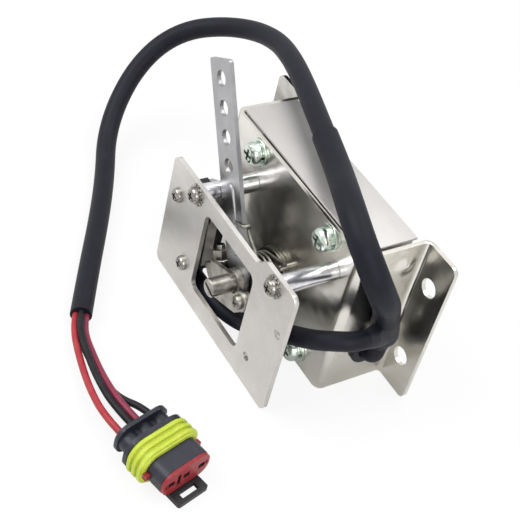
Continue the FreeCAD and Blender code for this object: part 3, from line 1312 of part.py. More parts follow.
def at_plug(piece):
    """Puts a piece drawn about the plug's own axis at the plug's place on the floor."""
    text = f"create(<<placement>>; create(<<vector>>; plug_across; -plug_forward; {FLOOR} + plug_floor_gap);" \
           f" create(<<rotation>>; create(<<vector>>; 0; 0; 1); plug_turn))"
    piece.setExpression("Placement", bound(text))


def block(body, name, half_width, half_height, corner, start, length):
    """A rounded block centred on the plug's axis, from a start along it."""
    outline = rectangle(f"-{half_width}", half_width, f"-{half_height}", half_height)
    sketch = draw(body, name, "YZ_Plane", [outline], start)
    pad(body, name + "_pad", sketch, length)
    middle = value(f"{start} + {length} / 2")
    at_corner = along("X", outline)
    round_edges(body, name + "_corners", corner,
                lambda edge: at_corner(edge) and abs(edge.CenterOfMass.x - middle) < value(length) / 2)


def plug_housing():
    """The plug's moulded shell: rear rim, three tubes, collar and a core with a recess for the lock."""
    body = new_body("plug_housing")
    block(body, "rim", "plug_rim_half_width", "plug_rim_half_height", "plug_rim_corner", "0", "plug_rim_length")
    block(body, "collar", "plug_collar_half_width", "plug_collar_half_height", "plug_collar_corner",
          "plug_collar_start", "plug_collar_length")
    web = rectangle("-plug_pitch", "plug_pitch", "-plug_web_half_height", "plug_web_half_height")
    sketch = draw(body, "tube_web", "YZ_Plane", [web], "plug_rim_length / 2")
    pad(body, "tube_web_pad", sketch, "plug_collar_start")
    for cavity in ("-1", "0", "1"):
        word = {"-1": "left", "0": "middle", "1": "right"}[cavity]
        sketch = draw(body, f"{word}_tube", "YZ_Plane", [(f"{cavity} * plug_pitch", "0", "plug_lobe_radius")],
                      "plug_rim_length / 2")
        pad(body, f"{word}_tube_pad", sketch, "plug_collar_start")
    block(body, "core", "plug_core_half_width", "plug_core_half_height", "plug_core_corner",
          "(plug_collar_start + plug_collar_length)", "(plug_core_end - plug_collar_start - plug_collar_length)")
    bores = [(f"{cavity} * plug_pitch", "0", "plug_bore_radius") for cavity in ("-1", "0", "1")]
    sketch = draw(body, "rear_bores", "YZ_Plane", bores, "0")
    pocket(body, "rear_bores_cut", sketch, "plug_bore_length", reverse=True)
    half_width = "(plug_core_half_width - plug_front_wall)"
    half_height = "(plug_core_half_height - plug_front_wall)"
    recess = rectangle(f"-{half_width}", half_width, f"-{half_height}", half_height)
    sketch = draw(body, "front_recess", "YZ_Plane", [recess], "plug_core_end")
    pocket(body, "front_recess_cut", sketch, "plug_front_recess")
    round_edges(body, "front_recess_corners", "plug_core_corner - plug_front_wall", along("X", recess))
    half_slot = "(lock_tab_half_height + lock_clearance)"
    slot = rectangle("lock_tab_start - lock_clearance", "lock_tab_start + lock_tab_length + lock_clearance",
                     f"-{half_slot}", half_slot)
    sketch = draw(body, "side_slots", "XZ_Plane", [slot], "-2 * plug_core_half_width")
    pocket(body, "side_slots_cut", sketch, "4 * plug_core_half_width")
    at_plug(body)
    keep(body, "plug_housing")


def plug_seal():
    """The yellow ring seal with its three ribs, and the three wire seals in the rear bores."""
    body = new_body("seal_form")
    start = "(plug_collar_start + plug_collar_length)"
    base_width = "(plug_core_half_width + seal_wall)"
    base_height = "(plug_core_half_height + seal_wall)"
    block(body, "seal_base", base_width, base_height, "(plug_core_corner + seal_wall)", start, "seal_length")
    rib_starts = [f"({start} + seal_length / 2 + ({number} - 1) * seal_rib_pitch - seal_rib_width / 2)"
                  for number in range(3)]
    for name, rib_start in zip(("rear", "middle", "front"), rib_starts):
        block(body, name + "_rib", f"({base_width} + seal_rib)", f"({base_height} + seal_rib)",
              "(plug_core_corner + seal_wall + seal_rib)", rib_start, "seal_rib_width")
    crests = [value(rib_start) + end for rib_start in rib_starts for end in (0, value("seal_rib_width"))]
    beyond_width = value(base_width) + value("seal_rib") / 2
    beyond_height = value(base_height) + value("seal_rib") / 2

    def crest(edge):
        if not any(all(abs(vertex.Point.x - end) < 1e-3 for vertex in edge.Vertexes) for end in crests):
            return False
        box = edge.BoundBox
        return max(abs(box.YMin), abs(box.YMax)) > beyond_width or max(abs(box.ZMin), abs(box.ZMax)) > beyond_height
    round_edges(body, "rib_crests", "seal_rib_edge", crest)
    core = new_body("seal_core_form")
    block(core, "seal_core", "plug_core_half_width", "plug_core_half_height", "plug_core_corner",
          f"({start} - seal_wall)", "(seal_length + 2 * seal_wall)")
    ring = doc.addObject("Part::Cut", "plug_seal_ring")
    ring.Base = body
    ring.Tool = core
    at_plug(ring)
    doc.recompute()
    keep(ring, "plug_seal_ring")

    seals = new_body("plug_wire_seals")
    discs = [(f"{cavity} * plug_pitch", "0", "plug_bore_radius") for cavity in ("-1", "0", "1")]
    sketch = draw(seals, "seal_discs", "YZ_Plane", discs, "wire_depth")
    pad(seals, "seal_discs_pad", sketch, "plug_bore_length - wire_depth")
    at_plug(seals)
    keep(seals, "plug_wire_seals")


def plug_lock():
    """The red lock: a faced block in the plug's front, with three sockets, and a tab out at each side."""
    body = new_body("plug_lock")
    inset = "(plug_front_wall + lock_clearance)"
    block(body, "lock_block", f"(plug_core_half_width - {inset})", f"(plug_core_half_height - {inset})",
          f"(plug_core_corner - {inset})", "(plug_core_end - lock_depth)", "lock_depth")
    block(body, "lock_face", "(plug_core_half_width - lock_clearance)", "(plug_core_half_height - lock_clearance)",
          "lock_corner", "plug_core_end", "lock_proud")
    tab = rectangle("lock_tab_start", "lock_tab_start + lock_tab_length", "-lock_tab_half_height",
                    "lock_tab_half_height")
    sketch = draw(body, "tab_bar", "XZ_Plane", [tab], "lock_tab_reach")
    pad(body, "tab_bar_pad", sketch, "2 * lock_tab_reach")
    front = "(plug_core_end + lock_proud)"
    sockets = []
    for cavity in ("-1", "0", "1"):
        centre = f"({cavity} * plug_pitch)"
        sockets.append(rectangle(f"{centre} - socket_width / 2", f"{centre} + socket_width / 2",
                                 "-socket_height / 2", "socket_height / 2"))
    sketch = draw(body, "sockets", "YZ_Plane", sockets, front)
    pocket(body, "sockets_cut", sketch, "socket_depth")
    key = [rectangle("-plug_pitch / 2 - key_slot_width / 2", "-plug_pitch / 2 + key_slot_width / 2",
                     "-key_slot_height / 2", "key_slot_height / 2")]
    sketch = draw(body, "key_slot", "YZ_Plane", key, front)
    pocket(body, "key_slot_cut", sketch, "socket_depth")
    slots = []
    for sign in ("-1", "1"):
        centre = f"({sign} * end_slot_across)"
        slots.append(rectangle(f"{centre} - end_slot_width / 2", f"{centre} + end_slot_width / 2",
                               "-end_slot_height / 2", "end_slot_height / 2"))
    sketch = draw(body, "end_slots", "YZ_Plane", slots, front)
    pocket(body, "end_slots_cut", sketch, "end_slot_depth")
    at_plug(body)
    keep(body, "plug_lock")


def plug_latch():
    """The latch under the plug: a plate on a root, reaching out in front, with a slot across its end."""
    body = new_body("plug_latch")
    top = "(-plug_core_half_height - latch_gap)"
    plate = rectangle("latch_start", "latch_end", f"{top} - latch_sheet", top)
    sketch = draw(body, "latch_plate", "XZ_Plane", [plate], "latch_half_width")
    pad(body, "latch_plate_pad", sketch, "2 * latch_half_width")
    ends = [("latch_end", "latch_half_width"), ("latch_end", "-latch_half_width")]
    round_edges(body, "latch_corners", "latch_corner", along("Z", ends))
    root = rectangle("latch_start", "latch_start + latch_root", top, "-plug_core_half_height")
    sketch = draw(body, "latch_root_outline", "XZ_Plane", [root], "plug_core_half_height")
    pad(body, "latch_root_pad", sketch, "2 * plug_core_half_height")
    slot = rectangle("latch_slot_start", "latch_slot_start + latch_slot_length", "-latch_slot_half_width",
                     "latch_slot_half_width")
    sketch = draw(body, "latch_slot", "XY_Plane", [slot], top)
    pocket(body, "latch_slot_cut", sketch, "latch_sheet")
    at_plug(body)
    keep(body, "plug_latch")


mounting_bracket()
box_lid()
front_plate()
standoffs()
bracket_screws()
potentiometer()
lever_shaft()
lever()
hub()
idle_bolt()
spring_spool()
return_spring()
microswitch()
switch_leaf()
switch_connections()
grommet_and_lead()
cable_junction()
cables()
wires()
plug_housing()
plug_seal()
plug_lock()
plug_latch()
doc.recompute()

faults = [f"{item.Name} {item.State}" for item in doc.Objects if {"Invalid", "Error"} & set(item.State)]
for piece in SUBPARTS:
    if piece.Shape.isNull() or not piece.Shape.isValid():
        faults.append(f"{piece.Label} has no valid shape")
if faults:
    raise RuntimeError("; ".join(faults))

os.makedirs("parts", exist_ok=True)
for piece in SUBPARTS:
    piece.Shape.exportStep(f"parts/{piece.Label}.step")
    print(piece.Label, len(piece.Shape.Solids), round(piece.Shape.Volume, 1))
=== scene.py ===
"""Throttle potentiometer: finishes for its solids, its cables, its return spring and the studio round it."""
import math

import bpy
from mathutils import Matrix, Vector


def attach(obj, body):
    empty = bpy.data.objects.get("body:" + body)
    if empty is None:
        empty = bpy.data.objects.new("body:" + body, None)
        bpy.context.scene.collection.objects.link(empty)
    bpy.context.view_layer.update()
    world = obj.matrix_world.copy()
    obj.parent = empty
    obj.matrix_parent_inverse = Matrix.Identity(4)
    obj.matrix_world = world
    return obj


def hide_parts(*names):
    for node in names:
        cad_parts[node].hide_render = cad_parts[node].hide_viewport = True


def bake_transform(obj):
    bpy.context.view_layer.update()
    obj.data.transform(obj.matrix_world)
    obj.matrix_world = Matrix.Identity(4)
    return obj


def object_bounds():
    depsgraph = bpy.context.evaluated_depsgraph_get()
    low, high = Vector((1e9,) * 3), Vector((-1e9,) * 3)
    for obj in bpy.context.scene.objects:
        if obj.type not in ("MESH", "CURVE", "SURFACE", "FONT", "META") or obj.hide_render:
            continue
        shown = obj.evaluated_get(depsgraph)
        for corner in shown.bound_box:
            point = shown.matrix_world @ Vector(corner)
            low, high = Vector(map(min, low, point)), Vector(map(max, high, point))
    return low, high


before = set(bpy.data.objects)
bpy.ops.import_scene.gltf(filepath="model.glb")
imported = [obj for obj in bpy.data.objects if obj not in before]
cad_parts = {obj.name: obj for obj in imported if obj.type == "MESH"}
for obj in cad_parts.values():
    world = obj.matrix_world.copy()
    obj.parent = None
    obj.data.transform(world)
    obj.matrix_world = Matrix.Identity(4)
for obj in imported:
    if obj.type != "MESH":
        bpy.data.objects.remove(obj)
cad_low, cad_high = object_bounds()
MM = 0.001

UNIT = "unit"

# The lever's shaft, across and up, and the lever's lean from upright, in millimetres and degrees
SHAFT_ACROSS = 2.9
SHAFT_UP = -7.3
LEVER_LEAN = 29.5


class Number:
    """A shader socket that works in sums as a plain number does."""

    def __init__(self, graph, socket):
        self.graph = graph
        self.socket = socket

    def combine(self, operation, first, second):
        made = self.graph.node("ShaderNodeMath", {"operation": operation}, {0: first, 1: second})
        return Number(self.graph, made.outputs[0])

    def __add__(self, other):
        return self.combine("ADD", self, other)

    def __radd__(self, other):
        return self.combine("ADD", other, self)

    def __mul__(self, other):
        return self.combine("MULTIPLY", self, other)

    def __rmul__(self, other):
        return self.combine("MULTIPLY", other, self)

    def or_more(self, other):
        """The larger of this and another."""
        return self.combine("MAXIMUM", self, other)

    def spread(self, low, high):
        """0 below low, 1 above high and a slope between them."""
        made = self.graph.node("ShaderNodeMapRange", {"clamp": True}, {"Value": self, "From Min": low,
                                                                      "From Max": high})
        return Number(self.graph, made.outputs[0])


class Graph:
    """A tree of shader nodes, with a single way to add and feed them."""

    def __init__(self, tree):
        self.tree = tree

    def feed(self, socket, value):
        if isinstance(value, Number):
            value = value.socket
        if isinstance(value, bpy.types.NodeSocket):
            self.tree.links.new(value, socket)
        else:
            socket.default_value = value

    def node(self, kind, settings=None, inputs=None):
        made = self.tree.nodes.new(kind)
        for key, value in (settings or {}).items():
            setattr(made, key, value)
        for key, value in (inputs or {}).items():
            self.feed(made.inputs[key], value)
        return made


class Finish(Graph):
    """One material: the nodes round its main shader."""

    SOCKETS = {"colour": "Base Color", "roughness": "Roughness", "metallic": "Metallic",
               "coat": "Coat Weight", "specular": "Specular IOR Level"}
    NOISE_ROUGHNESS = 0.6
    # Where a Mix node takes its factor and its two colours, and gives the mixed one
    MIX_FACTOR, MIX_FIRST, MIX_SECOND, MIX_RESULT = 0, 6, 7, 2

    def __init__(self, name):
        self.material = bpy.data.materials.new(name)
        self.material.use_nodes = True
        super().__init__(self.material.node_tree)
        self.shader = self.tree.nodes["Principled BSDF"]
        self.place = self.node("ShaderNodeTexCoord").outputs["Object"]

    def noise(self, grain_mm, detail, stretch=(1, 1, 1), turn=(0, 0, 0)):
        """Noise with grains of a given size in millimetres, drawn out along an axis by a stretch."""
        scale = tuple(1 / number for number in stretch)
        where = self.node("ShaderNodeMapping", None, {"Vector": self.place, "Rotation": turn,
                                                      "Scale": scale})
        made = self.node("ShaderNodeTexNoise", None, {"Vector": where.outputs[0],
                                                      "Scale": 1 / (grain_mm * MM), "Detail": detail,
                                                      "Roughness": self.NOISE_ROUGHNESS})
        return Number(self, made.outputs[0])

    def blend(self, share, first, second):
        """A colour between two others."""
        inputs = {self.MIX_FACTOR: share, self.MIX_FIRST: first, self.MIX_SECOND: second}
        return self.node("ShaderNodeMix", {"data_type": "RGBA"}, inputs).outputs[self.MIX_RESULT]

    def bump(self, height, strength=1.0, depth_mm=1.0):
        made = self.node("ShaderNodeBump", None, {"Height": height, "Strength": strength,
                                                  "Distance": depth_mm * MM})
        self.feed(self.shader.inputs["Normal"], made.outputs[0])

    def set(self, **values):
        for key, value in values.items():
            self.feed(self.shader.inputs[self.SOCKETS[key]], value)


def rgb(red, green, blue):
    return (red, green, blue, 1.0)


def sheet_steel(name, light, dark, smooth, rough, stretch, turn=(0, 0, 0), stain_mm=14.0, relief=0.003,
                scuffed=0.05, waves=0.04):
    """Rolled sheet: drawn-out grain, soft stains, a few scuffs and faint waves, relief in millimetres."""
    finish = Finish(name)
    grain = finish.noise(grain_mm=0.35, detail=2.0, stretch=stretch, turn=turn)
    stain = finish.noise(grain_mm=stain_mm, detail=4.0)
    scuff = finish.noise(grain_mm=2.2, detail=6.0).spread(low=0.6, high=0.72)
    wave = finish.noise(grain_mm=9.0, detail=1.0)
    stain_in_tone, grain_in_tone = 0.65, 0.35
    stain_in_gloss, grain_in_gloss = 0.7, 0.3
    stained = stain.spread(low=0.35, high=0.68)
    grained = grain.spread(low=0.3, high=0.7)
    tone = stained * stain_in_tone + grained * grain_in_tone
    uneven = grain * grain_in_gloss + stain * stain_in_gloss
    finish.set(colour=finish.blend(tone, rgb(*dark), rgb(*light)), metallic=1.0,
               roughness=uneven * (rough - smooth) + smooth + scuff * scuffed)
    finish.bump(grain * relief + wave * waves)
    return finish.material


def turned_steel(name, light, dark, roughness):
    """Turned or stamped bright steel with a fine grain and faint darker patches."""
    finish = Finish(name)
    grain = finish.noise(grain_mm=0.25, detail=3.0, stretch=(6, 1, 6))
    patch = finish.noise(grain_mm=3.0, detail=4.0)
    patch_gloss, grain_gloss = 0.12, 0.06
    tone = patch.spread(low=0.35, high=0.65)
    finish.set(colour=finish.blend(tone, rgb(*dark), rgb(*light)), metallic=1.0,
               roughness=patch * patch_gloss + grain * grain_gloss + roughness)
    finish.bump(grain, strength=0.12, depth_mm=0.015)
    return finish.material


def plated(name, first, second, third, roughness):
    """Zinc plating whose passivation shifts between tints."""
    finish = Finish(name)
    wide = finish.noise(grain_mm=3.2, detail=2.0)
    fine = finish.noise(grain_mm=0.9, detail=2.0)
    wide_gloss = 0.14
    tint = finish.blend(wide.spread(low=0.42, high=0.6), rgb(*first), rgb(*second))
    finish.set(colour=finish.blend(fine.spread(low=0.5, high=0.68), tint, rgb(*third)), metallic=1.0,
               roughness=wide * wide_gloss + roughness)
    finish.bump(fine, strength=0.08, depth_mm=0.02)
    return finish.material


def moulding(name, colour, worn, roughness, grain_mm=0.12, depth_mm=0.012):
    """A moulded surface with fine texture and slightly rubbed, paler places."""
    finish = Finish(name)
    rubbed = finish.noise(grain_mm=4.0, detail=5.0).spread(low=0.5, high=0.75)
    texture = finish.noise(grain_mm=grain_mm, detail=2.0)
    texture_gloss, rubbed_gloss = 0.08, 0.06
    finish.set(colour=finish.blend(rubbed, rgb(*colour), rgb(*worn)), specular=0.35,
               roughness=texture * texture_gloss + rubbed * rubbed_gloss + roughness)
    finish.bump(texture, strength=0.35, depth_mm=depth_mm)
    return finish.material


def soft_jacket(name, colour, dusty, roughness, coat=0.0):
    """A cable's or wire's jacket: slightly mottled, with the faint ripple of what lies inside."""
    finish = Finish(name)
    dust = finish.noise(grain_mm=6.0, detail=6.0).spread(low=0.45, high=0.8)
    ripple = finish.noise(grain_mm=3.0, detail=2.0)
    texture = finish.noise(grain_mm=0.1, detail=2.0)
    texture_gloss, dust_gloss = 0.1, 0.08
    ripple_share, texture_share = 0.85, 0.15
    finish.set(colour=finish.blend(dust, rgb(*colour), rgb(*dusty)), specular=0.2, coat=coat,
               roughness=texture * texture_gloss + dust * dust_gloss + roughness)
    finish.bump(ripple * ripple_share + texture * texture_share, strength=0.3, depth_mm=0.12)
    return finish.material


PLATE = sheet_steel("satin plate steel", light=(0.67, 0.65, 0.625), dark=(0.54, 0.525, 0.50),
                    smooth=0.36, rough=0.48, stretch=(1, 1, 1.5))
BRACKET = sheet_steel("bracket steel", light=(0.78, 0.76, 0.71), dark=(0.60, 0.58, 0.53),
                      smooth=0.18, rough=0.28, stretch=(26, 26, 1), stain_mm=20, relief=0.0004,
                      scuffed=0.015, waves=0.24)
LID = sheet_steel("lid steel", light=(0.54, 0.525, 0.515), dark=(0.49, 0.475, 0.465),
                  smooth=0.54, rough=0.62, stretch=(26, 1, 1), scuffed=0.02, waves=0.1)
LEVER_STEEL = sheet_steel("lever steel", light=(0.41, 0.41, 0.42), dark=(0.31, 0.31, 0.32),
                          smooth=0.3, rough=0.42, stretch=(1, 1, 20), turn=(0, math.radians(LEVER_LEAN), 0),
                          stain_mm=7)
# The hub's steel is coloured darker than its metal: painted shade and painted dark reflection
HUB_STEEL_SHADE_DARKENED = turned_steel("hub steel darkened as painted shade", light=(0.40, 0.385, 0.35), dark=(0.20, 0.19, 0.165), roughness=0.24)
STANDOFF_STEEL = turned_steel("standoff steel", light=(0.82, 0.82, 0.85), dark=(0.62, 0.62, 0.65),
                              roughness=0.14)
SHAFT_STEEL = turned_steel("shaft steel", light=(0.52, 0.50, 0.47), dark=(0.27, 0.25, 0.22), roughness=0.24)
# The spring's steel is coloured darker than its metal: painted shade and painted dark reflection
SPRING_STEEL_SHADE_DARKENED = turned_steel("spring steel darkened as painted shade", light=(0.38, 0.37, 0.33), dark=(0.18, 0.17, 0.15),
                            roughness=0.2)
# The spool's steel is coloured very dark: painted shade and painted dark reflection on the drum behind the
# lever
SPOOL_STEEL_SHADE_DARKENED = turned_steel("spool steel darkened as painted shade", light=(0.22, 0.21, 0.18), dark=(0.10, 0.095, 0.08),
                           roughness=0.24)
BRASS = turned_steel("bearing brass", light=(0.72, 0.56, 0.28), dark=(0.48, 0.36, 0.18), roughness=0.25)
ZINC_GREEN = plated("green-tinted zinc", first=(0.62, 0.70, 0.64), second=(0.52, 0.57, 0.50),
                    third=(0.74, 0.82, 0.76), roughness=0.14)
ZINC_CLEAR = plated("clear zinc", first=(0.31, 0.30, 0.28), second=(0.22, 0.205, 0.185),
                    third=(0.42, 0.41, 0.39), roughness=0.15)
BLACK_CASE = moulding("black moulding", colour=(0.009, 0.009, 0.011), worn=(0.022, 0.022, 0.024),
                      roughness=0.42)
TRACK = moulding("track board", colour=(0.16, 0.11, 0.05), worn=(0.22, 0.16, 0.08), roughness=0.4)
PLUNGER = moulding("plunger moulding", colour=(0.30, 0.02, 0.02), worn=(0.40, 0.05, 0.05), roughness=0.3)
RUBBER = moulding("black rubber", colour=(0.0052, 0.0056, 0.0105), worn=(0.0125, 0.0135, 0.022),
                  roughness=0.5, grain_mm=0.4, depth_mm=0.006)
PLUG_GREY = moulding("plug grey", colour=(0.018, 0.019, 0.030), worn=(0.033, 0.035, 0.050),
                     roughness=0.33, grain_mm=0.25, depth_mm=0.006)
PLUG_BLACK = moulding("plug black", colour=(0.014, 0.015, 0.016), worn=(0.03, 0.031, 0.033), roughness=0.36)
SEAL = moulding("yellow seal", colour=(0.49, 0.58, 0.05), worn=(0.59, 0.68, 0.10),
                roughness=0.36, grain_mm=0.3, depth_mm=0.008)
LOCK = moulding("red lock", colour=(0.26, 0.018, 0.024), worn=(0.33, 0.038, 0.045),
                roughness=0.34, grain_mm=0.25, depth_mm=0.008)
# Near-black colour for the blocks in the plug's sockets: painted shade inside the openings
SOCKET_SHADE_BLACK = moulding("painted socket shade black", colour=(0.003, 0.003, 0.0035), worn=(0.006, 0.006, 0.007), roughness=0.6)
JACKET = soft_jacket("black jacket", colour=(0.0052, 0.0055, 0.0105), dusty=(0.0125, 0.0135, 0.023),
                     roughness=0.46)
SLEEVE = soft_jacket("black sleeve", colour=(0.0047, 0.0052, 0.0098), dusty=(0.0115, 0.0125, 0.0215),
                     roughness=0.5)
WIRE_BLACK = soft_jacket("black wire", colour=(0.008, 0.008, 0.010), dusty=(0.02, 0.021, 0.024),
                         roughness=0.36)
WIRE_RED = soft_jacket("red wire", colour=(0.36, 0.028, 0.038), dusty=(0.43, 0.06, 0.068),
                       roughness=0.33, coat=0.15)
WIRE_DARK_RED = soft_jacket("dark red wire", colour=(0.22, 0.024, 0.058), dusty=(0.29, 0.05, 0.085),
                            roughness=0.33, coat=0.15)

NODE_FINISHES = {
    "mounting_bracket": BRACKET, "front_plate": PLATE, "standoff_left": STANDOFF_STEEL,
    "standoff_right": STANDOFF_STEEL, "plate_screws": ZINC_CLEAR, "standoff_rear_screws": ZINC_CLEAR,
    "tooth_washers": ZINC_CLEAR, "pot_housing": BLACK_CASE, "pot_bush": BRASS, "resistor_track": TRACK,
    "wiper": BRASS, "pot_rear_cover": BLACK_CASE, "lever_shaft": SHAFT_STEEL, "lever": LEVER_STEEL,
    "lever_hub": HUB_STEEL_SHADE_DARKENED, "hub_collar": HUB_STEEL_SHADE_DARKENED, "hub_clamp_screw": HUB_STEEL_SHADE_DARKENED,
    "hub_clamp_nut": ZINC_CLEAR, "idle_bolt": ZINC_CLEAR, "idle_washer": STANDOFF_STEEL,
    "idle_nut": HUB_STEEL_SHADE_DARKENED, "spool_washer": SPOOL_STEEL_SHADE_DARKENED, "spring_spool": SPOOL_STEEL_SHADE_DARKENED,
    "spring_anchor_pin": SHAFT_STEEL, "switch_case": BLACK_CASE, "switch_cover": BLACK_CASE,
    "switch_screws": ZINC_CLEAR, "switch_nuts": ZINC_CLEAR, "switch_leaf": PLATE,
    "leaf_bracket": PLATE, "leaf_pin": SHAFT_STEEL, "switch_plunger": PLUNGER,
    "switch_terminals": BRASS, "terminal_boot": RUBBER, "wall_grommet": RUBBER, "pot_lead": JACKET,
    "plug_housing": PLUG_GREY, "plug_seal_ring": SEAL, "plug_wire_seals": SEAL, "plug_lock": LOCK,
    "plug_latch": PLUG_BLACK,
}
# How far a solid's sharp edges are rounded, in millimetres, where it isn't the usual amount
EDGE_ROUNDING = {"plug_lock": 0.15, "plug_latch": 0.3, "plug_housing": 0.2, "front_plate": 0.2,
                 "mounting_bracket": 0.2, "lever": 0.15, "lever_hub": 0.2, "lever_shaft": 0.1,
                 "terminal_boot": 0.5, "wall_grommet": 0.5, "tooth_washers": 0.06, "leaf_bracket": 0.05}
USUAL_ROUNDING = 0.1
ROUNDING_STEPS = 2
ROUNDED_FROM = math.radians(38)
SHADED_SHARP_FROM = math.radians(40)
# Corners nearer each other than this, in metres, are made one
WELD_DISTANCE = 1e-6


def metres(point):
    return tuple(number * MM for number in point)


def coated(piece, material):
    """Gives a piece one material and no other."""
    piece.data.materials.clear()
    piece.data.materials.append(material)


def dress(solid, node, material):
    """Gives a solid its finish, smooth faces and edges rounded as its node's are."""
    coated(solid, material)
    for face in solid.data.polygons:
        face.use_smooth = True
        face.material_index = 0
    weld = solid.modifiers.new("weld", "WELD")
    weld.merge_threshold = WELD_DISTANCE
    edge = solid.modifiers.new("rounded edges", "BEVEL")
    edge.width = EDGE_ROUNDING.get(node, USUAL_ROUNDING) * MM
    edge.segments = ROUNDING_STEPS
    edge.limit_method = "ANGLE"
    edge.angle_limit = ROUNDED_FROM
    edge.use_clamp_overlap = True
    solid.modifiers.new("even shading", "WEIGHTED_NORMAL")


for node, material in NODE_FINISHES.items():
    dress(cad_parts[node], node, material)


def finished(piece, material, body, slot, *nodes):
    """Gives a new piece its finish and body, and hides the solids that it stands for; slot is not used."""
    coated(piece, material)
    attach(piece, body)
    if nodes:
        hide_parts(*nodes)
    return piece


def nothing_selected():
    if bpy.context.object and bpy.context.object.mode != "OBJECT":
        bpy.ops.object.mode_set(mode="OBJECT")
    bpy.ops.object.select_all(action="DESELECT")


def alone(piece):
    """Makes a piece the only selected one and the active one."""
    nothing_selected()
    piece.select_set(True)
    bpy.context.view_layer.objects.active = piece


def reshaped(piece, kind, **settings):
    """Applies one modifier to the active piece."""
    change = piece.modifiers.new(kind.lower(), kind)
    for key, value in settings.items():
        setattr(change, key, value)
    bpy.ops.object.modifier_apply(modifier=change.name)


def round_line(name, points, radius, order, steps_along, steps_round):
    """A round line with closed ends, along a smooth curve with control points in metres."""
    curve = bpy.data.curves.new(name, "CURVE")
    curve.dimensions = "3D"
    curve.bevel_depth = radius
    curve.bevel_resolution = steps_round
    curve.resolution_u = steps_along
    curve.use_fill_caps = True
    spline = curve.splines.new("NURBS")
    spline.points.add(len(points) - 1)
    for place, point in zip(spline.points, points):
        place.co = (*point, 1.0)
    spline.order_u = order
    spline.use_endpoint_u = True
    spline.use_smooth = True
    piece = bpy.data.objects.new(name, curve)
    bpy.context.scene.collection.objects.link(piece)
    return piece


def cable(name, points_mm, radius_mm, material, slot, node):
    """A cable or wire along its route."""
    points = [metres(point) for point in points_mm]
    piece = round_line(name, points, radius_mm * MM, order=3, steps_along=16, steps_round=10)
    return finished(piece, material, UNIT, slot, node)


# Control points of the cables' and wires' routes, and their radii, in millimetres
SLEEVE_START = (-8.6, -12.73, 37.83)
SHEATH_END = (-15.5, -88.5, -26.2)
SLEEVE_END = (45.105, -15.512, 7.536)
BRANCH_START = (47.86, -24.19, 3.696)
BOOT_ENTRY = (-20.0, -43.8, -25.5)
SHEATH_ROUTE = [SHEATH_END, (-34, -77.3, -26.2), (-57, -62.8, -26.2), (-78, -50.8, -26.2), (-94.5, -43, -23),
                (-105.2, -34.5, -15.8), (-111.8, -24.5, -6), (-112.8, -14.5, 3.8), (-108, -5.3, 12.2),
                (-97.6, 2.8, 19.2), (-84, 7.3, 25.6), (-68.8, 7, 31), (-53, 2.5, 34.8), (-36.5, -3.2, 36.9),
                (-12.5, -11.4, 37.7), SLEEVE_START]
SLEEVE_ROUTE = [SLEEVE_END, (46.03, -17.83, 14.5), (50, -24.5, 23), (48, -30.3, 33.5), (40.5, -32.3, 41),
                (27, -28.5, 43.4), (7, -18.06, 38.35), SLEEVE_START]
BRANCH_ROUTE = [BRANCH_START, (48.03, -28.43, 4.34), (45.2, -33.8, 3.7), (40.5, -38.6, 1.2), (31, -42, -4.2),
                (17, -41.9, -16), (4.5, -41.7, -24.2), (-7.5, -43.8, -25.5), BOOT_ENTRY]
WIRE_ROUTES = {
    "wire_red": [(-16.381, -89.954, -26.2), (-10.823, -93.321, -26.2), (1.5, -96.6, -26.2),
                 (15.0, -99.3, -25.0), (28.247, -100.524, -22.7), (37.941, -98.071, -22.7)],
    "wire_black_upper": [(-15.5, -88.5, -24.5), (-9.943, -91.867, -24.5), (2.5, -94.4, -24.4),
                         (14.2, -96.0, -23.6), (26.197, -96.092, -22.7), (36.764, -93.418, -22.7)],
    "wire_dark_red": [(-14.619, -87.047, -26.2), (-9.062, -90.414, -26.2), (1.5, -92.0, -26.0),
                      (13.2, -93.5, -24.6), (25.608, -93.766, -22.7), (36.175, -91.092, -22.7)],
    "wire_black_lower": [(-15.5, -88.5, -27.9), (-9.943, -91.867, -27.9), (1.0, -92.9, -28.5),
                         (11.5, -92.9, -27.2), (21.0, -92.3, -25.6), (29.569, -87.812, -22.7),
                         (34.998, -86.438, -22.7)],
}
SHEATH_RADIUS = 3.7
SLEEVE_RADIUS = 4.4
BRANCH_RADIUS = 3.2
WIRE_RADIUS = 1.15
# Each wire's finish, record slot and length in metres
WIRES = {"wire_red": (WIRE_RED, "wire_red", 0.0564), "wire_black_upper": (WIRE_BLACK, "cable_black", 0.0538),
         "wire_dark_red": (WIRE_DARK_RED, "wire_dark_red", 0.0523),
         "wire_black_lower": (WIRE_BLACK, "cable_black", 0.0531)}

sheath = cable("outer_sheath", SHEATH_ROUTE, SHEATH_RADIUS, JACKET, "cable_black", "cable_sheath")
sleeve = cable("outer_sleeve", SLEEVE_ROUTE, SLEEVE_RADIUS, SLEEVE, "cable_black", "cable_sleeve")
branch = cable("switch_branch", BRANCH_ROUTE, BRANCH_RADIUS, JACKET, "cable_black", "switch_cable")
metres(SLEEVE_END)
metres(SLEEVE_START)
metres(BRANCH_START)
for node, (material, slot, length) in WIRES.items():
    points = WIRE_ROUTES[node]
    core = cable(node.replace("wire_", "core_"), points, WIRE_RADIUS, material, slot, node)
    metres(points[0])


def turned_place(across, level, up):
    """A point given in the lever's own frame, across and along it, at the lever's rest angle."""
    lean = math.radians(-LEVER_LEAN)
    return (SHAFT_ACROSS + across * math.cos(lean) + up * math.sin(lean), level,
            SHAFT_UP - across * math.sin(lean) + up * math.cos(lean))


